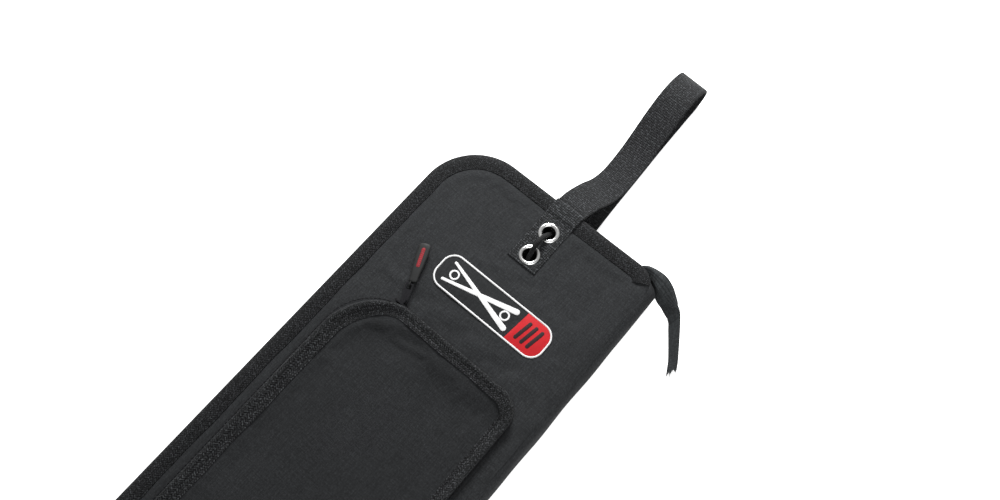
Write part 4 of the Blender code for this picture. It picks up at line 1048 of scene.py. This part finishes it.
# ---------------------------------------------------------------- handle
def make_handle(materials):
    """The webbing loop in two halves that meet at its far end."""
    start_y = TOP + 1.0
    front = [(5.7, 0.2, 21.4), (6.0, 3.0, 21.2), (6.4, 8, 20.0), (8.5, 20, 15.2), (11.2, 33, 7.6),
             (12.4, 46, 3.5), (12.4, 60, 3.0), (11.6, 76, 4.6), (10.6, 92, 9.6), (9.8, 108, 16.4),
             (9.6, 122, 21.4), (9.8, 134, 22.6), (10.2, 143.5, 20.6), (10.4, 149.2, 16.6),
             (10.5, HANDLE_REACH, 12.4)]
    rear = [(15.0, -1.5, 3.5), (15.0, 0.0, 3.4), (14.7, 8, 2.6), (14.0, 18, 1.4), (13.2, 34, 0.9),
            (12.4, 60, 0.9), (11.2, 92, 0.9), (10.6, 122, 0.9), (10.5, 137, 1.5), (10.5, 145.5, 4.2),
            (10.5, 149.6, 8.4), (10.5, HANDLE_REACH, 12.4)]
    root = (HINGE_X * MM, start_y * MM, MID_Z * MM)
    beyond = (HINGE_X * MM, (start_y + 2 * HANDLE_REACH) * MM, MID_Z * MM)
    for side, leg, node, start, end in (("front", front, "handle_front_leg", beyond, root),
                                        ("back", rear, "handle_rear_leg", root, beyond)):
        centre = curve_through([(x, start_y + y, z) for x, y, z in leg], 2.0)
        across, normal = ribbon_frames(centre)
        half = strap(f"handle_{side}_webbing", centre, across, normal, HANDLE_WIDTH, 1.5,
                     materials["webbing"])
        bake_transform(half)
        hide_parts(node)


# ---------------------------------------------------------------- accessory pocket
def pocket_stations(spacing=1.8):
    radii = [POCKET_RADII[corner] for corner in ("spine_top", "zip_top", "bottom", "bottom")]
    return rounded_outline(POCKET_LOW, POCKET_HIGH, radii, spacing)


def pocket_crest_z(x, y):
    """Height of the pocket's standing edge: tall on the zip side, nearly flat on the spine side."""
    fall = smoothstep(x, 0, 72) * (1 - smoothstep(y, 78, 101))
    return POCKET_TOP_Z - 1.4 - 4.0 * fall - 0.9 * smoothstep(-x, 35, 72) * smoothstep(y, 40, 90)


def pocket_drop(x):
    """How far the binding's inner edge lies below its crest."""
    return 2.2 + 2.2 * (1 - smoothstep(x, -62, -25))


def pocket_lean(normals):
    """How far inside the base seam the crest stands, from the inward normals."""
    left, top = np.clip(normals[:, 0], 0, 1), np.clip(-normals[:, 1], 0, 1)
    return -1.2 + 3.3 * left ** 1.5 + 5.6 * left * top


def pocket_band(normals):
    """Width of the binding's inner leg."""
    return 9.2 + 2.0 * np.clip(normals[:, 0], 0, 1)


def pocket_edge_distance(x, y):
    """Distance inward from the pocket's base outline."""
    low, high = POCKET_LOW, POCKET_HIGH
    result = np.minimum(np.minimum(x - low[0], high[0] - x), np.minimum(y - low[1], high[1] - y))
    for sx, sy, radius in ((1, 1, POCKET_RADII["spine_top"]), (-1, 1, POCKET_RADII["zip_top"]),
                           (-1, -1, POCKET_RADII["bottom"]), (1, -1, POCKET_RADII["bottom"])):
        dx = sx * x - ((high[0] if sx > 0 else -low[0]) - radius)
        dy = sy * y - ((high[1] if sy > 0 else -low[1]) - radius)
        result = np.where((dx > 0) & (dy > 0), radius - np.hypot(dx, dy), result)
    return result


def make_pocket(materials):
    points, normals, along = pocket_stations()
    crest_z = pocket_crest_z(points[:, 0], points[:, 1])
    lean = pocket_lean(normals)
    make_gusset(points, normals, crest_z, lean, materials)
    make_pocket_binding(points, normals, along, crest_z, lean, materials)
    seam = points - normals * 1.7
    seam = np.vstack([seam, seam[:1]])
    lift = z_of("front", cover_outer_height("front", seam[:, 0], seam[:, 1])) + 0.12
    stitch_row("pocket_base_stitches", np.hstack([seam, lift[:, None]]), "front_cover", "cover_fabric",
               materials["seam"])
    make_pocket_face(materials)


def near_zip(points, margin):
    """Which points of the pocket's outline run along its zip."""
    low, high = box_mm("pocket_lower_zip_tape")
    x, y = points[:, 0], points[:, 1]
    return (y > POCKET_HIGH[1] - 12) & (x > low[0] - margin) & (x < high[0] + margin)


def make_gusset(points, normals, crest_z, lean, materials):
    """The side wall from one end of the zip round to the other, rippled between its seams."""
    on_zip = np.nonzero(near_zip(points, 1))[0]
    order = np.r_[on_zip[-1]:len(points), 0:on_zip[0] + 1]
    points, normals, crest_z, lean = points[order], normals[order], crest_z[order], lean[order]
    run = distances(points)
    floor_z = POCKET_LOW[2] - 0.5
    shares = np.array([0.0, 0.12, 0.3, 0.5, 0.7, 0.88, 1.0])
    loop = np.concatenate([shares, shares[::-1]])
    face = np.concatenate([np.zeros(7), np.ones(7)])
    uneven = 0.5 + 0.6 * ripple(run[:, None], 0 * loop[None, :], 18, 41)
    wave = 0.7 * np.sin(loop * math.pi)[None, :] * uneven
    inset = lean[:, None] * loop[None, :] * 0.8 + 0.2 - wave + face[None, :]
    z = floor_z + (crest_z - 2.4 - floor_z)[:, None] * loop[None, :]
    grid = place_rings(points, normals, inset, z)
    gusset = lattice("pocket_gusset_cloth", grid, run, loop * 10 + face, materials["cover"])
    place_piece(gusset, "front_cover", "cover_fabric", "pocket_gusset")


def make_pocket_binding(points, normals, along, crest_z, lean, materials):
    """Tape folded over the standing edge: a short outer leg, the crest and a sloping inner leg."""
    band = pocket_band(normals)
    drop = pocket_drop(points[:, 0] + normals[:, 0] * band)
    outer = np.array([(0.5, -3.4), (0.1, -2.4), (0.0, -1.4), (0.35, -0.5), (1.2, 0.0)])
    inner = np.array([(0.24, 0.05), (0.38, 0.30), (0.54, 0.68), (0.72, 0.92), (0.86, 1.05), (0.92, 0.96),
                      (1.0, 1.05)])
    inset = np.hstack([np.repeat(outer[None, :, 0], len(points), axis=0), band[:, None] * inner[None, :, 0]])
    z = np.hstack([np.repeat(outer[None, :, 1], len(points), axis=0), -drop[:, None] * inner[None, :, 1]])
    across = np.concatenate([np.linspace(0, 4.5, 5), 4.5 + inner[:, 0] * 9.5])
    soft = 0.5 * ripple(along[:, None], 0 * across[None, :], 22, 43) * np.clip(inset / 9, 0, 1)
    lift = 0.34 * ripple(along[:, None], across[None, :], 10, 44) * smoothstep(inset, 0.5, 3)
    inset, z = inset + soft + lean[:, None], z + lift + crest_z[:, None]
    step_in, step_z = np.gradient(inset, axis=1), np.gradient(z, axis=1)
    size = np.hypot(step_in, step_z)
    under_in, under_z = inset + step_z / size * BINDING_WALL, z - step_in / size * BINDING_WALL
    grid = place_rings(points, normals, np.hstack([inset, under_in[:, ::-1]]),
                       np.hstack([z, under_z[:, ::-1]]))
    tape = lattice("pocket_binding_tape", grid, along, np.concatenate([across, across[::-1]]),
                   materials["pocket_binding"], wrap_along=True)
    place_piece(tape, "front_cover", "binding_tape", "pocket_binding")
    line = grid[:, 9] + (0.0, 0.0, 0.12)
    stitch_row("pocket_binding_stitches", np.vstack([line, line[:1]]), "front_cover", "binding_tape",
               materials["seam"])


def settle(name, place, held, growth, steps, limit):
    """Points of a cloth panel, in mm, after a simulation that holds some of them and lets it grow slack.

    held is 0 to 1 for each point, growth the share by which the cloth is larger than its frame,
    and limit the farthest that a point may move.
    """
    rows, columns = held.shape
    mesh = bpy.data.meshes.new(name)
    verts = place.reshape(-1, 3) * MM
    faces = [[i * columns + j, i * columns + j + 1, (i + 1) * columns + j + 1, (i + 1) * columns + j]
             for i in range(rows - 1) for j in range(columns - 1)]
    mesh.from_pydata(verts.tolist(), [], faces)
    obj = link_object(name, mesh)
    pins = obj.vertex_groups.new(name="held")
    for index, weight in enumerate(held.ravel()):
        if weight > 0.01:
            pins.add([index], float(weight), "REPLACE")
    modifier = obj.modifiers.new("cloth", "CLOTH")
    settings = modifier.settings
    settings.quality = 6
    settings.mass = 0.15
    settings.vertex_group_mass = "held"
    settings.shrink_min = -growth
    settings.tension_stiffness = settings.compression_stiffness = 20
    settings.shear_stiffness = 10
    settings.bending_stiffness = 0.4
    settings.effector_weights.gravity = 0.15
    modifier.collision_settings.use_collision = False
    scene = bpy.context.scene
    for frame_number in range(1, steps + 1):
        scene.frame_set(frame_number)
    evaluated = obj.evaluated_get(bpy.context.evaluated_depsgraph_get())
    moved = np.empty(len(verts) * 3)
    evaluated.data.vertices.foreach_get("co", moved)
    scene.frame_set(1)
    bpy.data.objects.remove(obj)
    shift = moved.reshape(rows, columns, 3) / MM - place
    size = np.linalg.norm(shift, axis=2)[:, :, None]
    return place + shift * np.minimum(1.0, limit / np.maximum(size, 1e-6))


def make_pocket_face(materials):
    """The pocket's front: slack fabric that sinks and folds inside its bound edge."""
    trim = 7.0
    low, high = POCKET_LOW + trim + 0.6, POCKET_HIGH - trim
    y = low[1] + (high[1] - low[1]) * np.linspace(0, 1, 113)

    def corners(top):
        """How far the round corners at one side's top and bottom move its edge inward."""
        above, below = POCKET_RADII[top] - trim, POCKET_RADII["bottom"] - trim
        moves = []
        for radius, past in ((above, y - (high[1] - above)), (below, low[1] + below - y)):
            reach = np.clip(past, 0, radius)
            moves.append(radius - np.sqrt(np.maximum(0, radius * radius - reach * reach)))
        return np.maximum(*moves)

    left = low[0] + corners("zip_top") + 2.4
    right = high[0] - corners("spine_top")
    share = np.linspace(0, 1, 53)
    x = left[:, None] + (right - left)[:, None] * share[None, :]
    y = np.repeat(y[:, None], len(share), axis=1)
    sheet = np.stack([x, y, pocket_face_height(x, y)], axis=2)
    held = 1 - smoothstep(pocket_edge_distance(x, y), 13.5, 19)
    sheet = settle("pocket_face_rest", sheet, held, 0.012, 26, 2.6)
    sheet[:, :, 2] = clear_of_cover(sheet[:, :, 2])
    face = plan_panel("pocket_face_cloth", sheet, sheet - (0.0, 0.0, 0.8), x, y, materials["pocket"])
    place_piece(face, "front_cover", "cover_fabric", "pocket_face")
    declare_sheet(sheet)


def pocket_face_height(x, y):
    edge = pocket_edge_distance(x, y)
    base = pocket_crest_z(x, y) - pocket_drop(x) - 0.75
    sag = 2.3 * smoothstep(edge, 9, 58) * (1 - 0.6 * smoothstep(x, 5, 60))
    sag = sag + 0.6 * smoothstep(-x, 30, 62) * smoothstep(edge, 9, 16)
    slack = smoothstep(edge, 10, 26) * (0.5 * ripple(x, y, 34, 51) + 0.2 * ripple(x, y, 13, 52))
    drape = 0.7 * smoothstep(edge, 12, 34) * np.sin((x + 0.22 * y) * 2 * math.pi / 52 + 0.8)
    fold = 1.9 * np.exp(-((y - (POCKET_HIGH[1] - 15.5 + 0.12 * (x + 20))) / 3.2) ** 2 - ((x + 12) / 15) ** 2)
    hollow = 1.2 * dent(x, y, (-22, POCKET_HIGH[1] - 24), 11)
    return base - sag + slack + drape - fold - hollow


def clear_of_cover(z):
    """Keeps the pocket's face a little above the cover, without a hard edge where it would touch."""
    least, blend = THICK + 2.2, 0.5
    return least + blend * np.log1p(np.exp((z - least) / blend))


def make_pocket_zip(materials):
    """Tapes and coil set into the pocket's top wall, following its outline."""
    points, normals, _ = pocket_stations(1.0)
    near = near_zip(points, 2)
    points, normals = points[near], normals[near]
    stations = points, normals, distances(points)
    middle = (box_mm("pocket_lower_zip_teeth")[1][2] + box_mm("pocket_upper_zip_teeth")[0][2]) / 2
    pitch = 2.0
    for row, sign, edge, shift in (("lower", -1, POCKET_LOW[2] - 0.4, 0.0),
                                   ("upper", 1, POCKET_HIGH[2] + 0.8, pitch / 2)):
        profile = [(0.3, middle + sign * 0.9), (0.1, middle + sign * 2.0), (0.1, edge), (0.9, edge),
                   (0.9, middle + sign * 2.0), (1.0, middle + sign * 0.9)]
        tape = sweep(f"pocket_{row}_zip_strip", stations, profile, materials["tape"])
        place_piece(tape, "front_cover", "zip_tape", f"pocket_{row}_zip_tape")
        root, tip = middle + sign * 1.9, middle - sign * 0.6
        loop = [(-0.2, root), (-0.35, (root + tip) / 2), (0.1, tip), (0.7, tip), (1.3, tip),
                (1.5, (root + tip) / 2), (1.4, root)]
        coil = make_coil(f"pocket_{row}_zip_coil", stations, loop, (pitch, shift, 0.8),
                         (0.42, 0.25, 0.6, 0.0), materials["coil"])
        place_piece(coil, "front_cover", "zip_coil", f"pocket_{row}_zip_teeth")


# ---------------------------------------------------------------- badge
def plate(name, outline, z_low, z_high, material, soften, slot, *nodes):
    """A flat patch on the front cover with a softened top edge, from an outline's stations."""
    points, normals, _ = outline
    rings = ((0.0, z_low), (0.0, z_high - soften), (soften * 0.4, z_high - soften * 0.3),
             (soften * 1.3, z_high))
    link = [np.hstack([points + normals * inset, np.full((len(points), 1), z)]) for inset, z in rings]
    place_piece(links_mesh(name, [link], material, 50, flat_map=True), "front_cover", slot, *nodes)


def bar(name, first, last, half_width, z_low, z_high, material, slot, bead=0.0):
    """A satin-stitched stroke with round ends, and a bead at its far end if asked."""
    first, last = np.array(first, float), np.array(last, float)
    along = unit(last - first)
    start = math.degrees(math.atan2(along[0], -along[1]))
    outline = np.vstack([
        arc_points(first, half_width, start, start + 180, 0.4),
        arc_points(last, max(half_width, bead), start + 180, start + 360, 0.4)])
    plate(name, stations_of(outline, closed=True), z_low, z_high, material, 0.25, slot)


def make_badge(materials):
    """Twill patch with a satin border, crossed sticks, two hoops and three slashes on a red end panel."""
    low, high = BADGE_LOW - (1.6, 0.0, 0.0), BADGE_HIGH
    radii = (BADGE_RADIUS,) * 4
    plate("badge_patch", rounded_outline(low, high, radii, 1.2), low[2] - 0.2, high[2] - 0.3,
          materials["patch"], 0.3, "puller_rubber", "badge_base")
    make_badge_border(rounded_outline(low, high, radii, 0.6), high[2], materials)
    make_badge_panel(low, high, materials)
    centre = np.array([low[0] + 38.0, (low[1] + high[1]) / 2])
    for name, sign, lift in (("rising", 1, 0.0), ("falling", -1, 0.09)):
        reach = np.array([28.5, sign * 7.6])
        bar(f"badge_stick_{name}", centre - reach, centre + reach, 1.1, high[2] - 0.5, high[2] + 0.2 + lift,
            materials["white"], "badge_white", bead=2.2)
    section = [(-0.75, -0.5), (-0.6, 0.1), (0.0, 0.3), (0.6, 0.1), (0.75, -0.5)]
    for name, sign in (("left", -1), ("right", 1)):
        circle = stations_of(arc_points(centre + (sign * 23.5, 0.0), 3.2, 0, 360, 0.4)[:-1], closed=True)
        hoop = sweep(f"badge_hoop_{name}", circle, [(inset, high[2] + z) for inset, z in section],
                     materials["white"], closed=True)
        place_piece(hoop, "front_cover", "badge_white")
    for k in range(3):
        x = high[0] - 21.0 + 5.4 * k
        bar(f"badge_bar_{k + 1}", (x - 1.4, centre[1] - 7.0), (x + 1.0, centre[1] + 7.0), 1.5,
            high[2], high[2] + 0.4, materials["black"], "puller_rubber")


def make_badge_border(outline, top, materials):
    """A raised rim of satin stitches."""
    ring = [(0.5, -0.6), (0.55, 0.0), (0.8, 0.32), (1.2, 0.42), (1.6, 0.32), (1.85, 0.0), (1.9, -0.6),
            (1.2, -0.65)]

    def satin(distance, inset, z):
        turn = distance * 2 * math.pi
        return inset + 0.05 * np.sin(turn / 0.9), z + 0.04 * np.sin(turn / 0.45)

    border = sweep("badge_satin_border", outline, [(inset, top + z) for inset, z in ring],
                   materials["white"], closed=True, wobble=satin)
    place_piece(border, "front_cover", "badge_white", "badge_border")


def make_badge_panel(low, high, materials):
    """The red field at the badge's right end, inside its border."""
    inset = 1.9
    right, bottom, top = high[0] - inset, low[1] + inset, high[1] - inset
    corner = BADGE_RADIUS - inset
    left = high[0] - 26.0
    outline = np.vstack([
        arc_points((right - corner, top - corner), corner, 0, 90, 1.0),
        line_points((right - corner, top), (left, top), 1.0),
        line_points((left, top), (left - 2.5, bottom), 1.0),
        line_points((left - 2.5, bottom), (right - corner, bottom), 1.0),
        arc_points((right - corner, bottom + corner), corner, 270, 360, 1.0)])
    plate("badge_red_fill", stations_of(outline, closed=True), high[2] - 0.5, high[2] + 0.2,
          materials["red"], 0.2, "red_rubber", "badge_red_panel")


# ---------------------------------------------------------------- stick pockets
def make_stick_pocket(side, materials):
    """Thin cloth sewn down in three channels that stand open for the sticks."""
    low, high = STICK_LOW, STICK_HIGH
    channels = 3
    pitch = (high[0] - low[0]) / channels
    x = np.linspace(low[0], high[0], 91)
    y = np.linspace(low[1], high[1], 110)
    bow = np.abs(np.sin((x - low[0]) / pitch * math.pi)) ** 0.55
    base = LINING_HEIGHT + 0.35
    open_share = 0.72 + 0.28 * smoothstep(y, low[1], low[1] + 60)
    close = smoothstep(y, low[1], low[1] + 7)
    height = base + (high[2] - base - 0.15) * bow[None, :] * (open_share * close)[:, None]
    height = height - 0.25 * bow[None, :] * (1 + ripple(x[None, :], y[:, None], 20, 61))
    height = np.maximum(height, base)
    outer, inner = (np.stack([*np.meshgrid(x, y), z_of(side, height - depth)], axis=2)
                    for depth in (0.0, 0.5))
    across = distances(np.stack([x, height[60]], axis=1))
    piece = two_faced(f"{side}_stick_pocket_cloth", outer, inner, y - y[0], across, materials["lining"])
    place_piece(piece, COVER_BODY[side], "lining_fabric", f"{side}_stick_pocket")
    declare_sheet(outer)
    make_hem(side, x, height[-1], across, materials)
    seam_z = z_of(side, base + 0.1)
    for k in range(channels + 1):
        seam_x = low[0] + 0.8 + (high[0] - low[0] - 1.6) * k / channels
        line = line_points((seam_x, low[1], seam_z), (seam_x, high[1], seam_z), 2.0)
        stitch_row(f"{side}_channel_{k + 1}_stitches", line, COVER_BODY[side], "lining_fabric",
                   materials["seam"], -OUTWARD[side])


def make_hem(side, x, height, across, materials):
    """Bound edge at the stick channels' mouths."""
    low, high = box_mm(f"{side}_stick_pocket_hem")
    y = np.linspace(low[1], high[1] + 0.6, 8)
    over, under = (np.stack([*np.meshgrid(x, y), np.tile(z_of(side, height + rise), (len(y), 1))], axis=2)
                   for rise in (0.35, -0.75))
    hem = two_faced(f"{side}_stick_pocket_hem_tape", over, under, y, across, materials["binding"])
    place_piece(hem, COVER_BODY[side], "binding_tape", f"{side}_stick_pocket_hem")


# ---------------------------------------------------------------- zip pullers
def make_puller(which, materials):
    """A moulded grip that widens toward its end, with a ribbed inlay on both faces."""
    body = f"{which}_puller"
    node = frame["nodes"][body]
    corners = np.array([node.matrix_world @ vertex.co for vertex in node.data.vertices]) / MM
    pivot = np.array(joint_place(f"{which}_puller_hinge")) / MM
    ahead = unit((corners.min(axis=0) + corners.max(axis=0)) / 2 - pivot)
    side = unit(np.cross(PULL_FACE[which], ahead))
    up = np.cross(ahead, side)
    first, last = PULLER_RING_RADIUS, ((corners - pivot) @ ahead).max()
    turn = np.linspace(0, 2 * math.pi, 28, endpoint=False)
    shape_x, shape_z = (np.sign(wave) * np.abs(wave) ** 0.55 for wave in (np.cos(turn), np.sin(turn)))

    def skin(name, run, half_width, half_thick, material):
        lean = PULLER_LEAN[which] * (1.3 + 1.2 * (run - first) / (last - first))
        sideways = (lean[:, None] + half_width[:, None] * shape_x)[:, :, None]
        rings = pivot + ahead * run[:, None, None] + side * sideways
        rings = rings + up * (half_thick[:, None] * shape_z)[:, :, None]
        return lattice(name, rings, run - run[0], turn * 3, material)

    run = np.concatenate([first + np.array([0, 0.15, 0.5, 1.1]), np.linspace(first + 2.5, last - 3.5, 16),
                          last - np.array([2.0, 0.9, 0.3, 0.0])])
    share = (run - first) / (last - first)
    close = rounded_end((1.1 - (run - first)) / 1.15, (2.6 - (last - run)) / 2.65, 0.03)
    widths = (3.1 + 1.4 * smoothstep(share, 0.0, 0.75)) * close
    thick = (1.25 + 0.3 * smoothstep(share, 0.0, 0.3)) * np.sqrt(close)
    grip = skin(f"{body}_grip", run, widths, thick, materials["rubber"])
    place_piece(grip, body, "puller_rubber", body)
    lap = np.linspace(0, 2 * math.pi, 33)[:, None]
    loop = pivot + PULLER_RING_RADIUS * (np.cos(lap) * ahead + np.sin(lap) * up)
    place_piece(tube(f"{body}_ring", loop, PULLER_RING_WALL, materials["rubber"], 12), body, "puller_rubber")
    length = last - first
    run = np.linspace(first + length * 0.36, last - length * 0.12, 61)
    ends = rounded_end(1 - (run - run[0]) / 1.6, 1 - (run[-1] - run) / 1.6, 0.04)
    ribs = 1.66 + 0.16 * np.abs(np.sin((run - run[0]) * math.pi / 1.5))
    inlay = skin(f"{body}_inlay", run, 1.7 * ends, ribs * ends ** 0.3, materials["red_rubber"])
    place_piece(inlay, body, "red_rubber", f"{body}_insert")


def rounded_end(near, far, least):
    """Share of the full width where two ends round off, from how far into each end's curve it is."""
    return np.sqrt(np.clip(1 - np.maximum(near, far).clip(0) ** 2, least, 1))


# ---------------------------------------------------------------- metal nodes kept from the CAD
def dress_cad_nodes(materials):
    """Metal nodes keep their CAD shape, with eased edges and detailed materials."""
    painted = ("main_slider", "main_pull_tab", "pocket_slider", "pocket_pull_tab", "zip_bottom_stop")
    for name in painted + ("upper_washer", "lower_washer"):
        node = frame["nodes"][name]
        node.data.materials.clear()
        node.data.materials.append(materials["gunmetal" if name in painted else "nickel"])
        bevel = node.modifiers.new("eased_edges", "BEVEL")
        bevel.width = 0.25 * MM
        bevel.segments = 2
        bevel.limit_method = "ANGLE"
        bevel.angle_limit = math.radians(35)
        node.data.shade_smooth()


def main():
    make_camera()
    make_studio()
    materials = make_materials()
    make_tom_cord(materials)
    for side in SIDES:
        make_cover_panel(side, materials)
        make_lining(side, materials)
        make_binding(side, materials)
        make_stick_pocket(side, materials)
    make_spine(materials)
    make_main_zip(materials)
    make_zip_tail(materials)
    make_eyelet_tab(materials)
    make_eyelets(materials)
    make_handle(materials)
    make_pocket(materials)
    make_pocket_zip(materials)
    make_badge(materials)
    make_puller("main", materials)
    make_puller("pocket", materials)
    dress_cad_nodes(materials)


main()
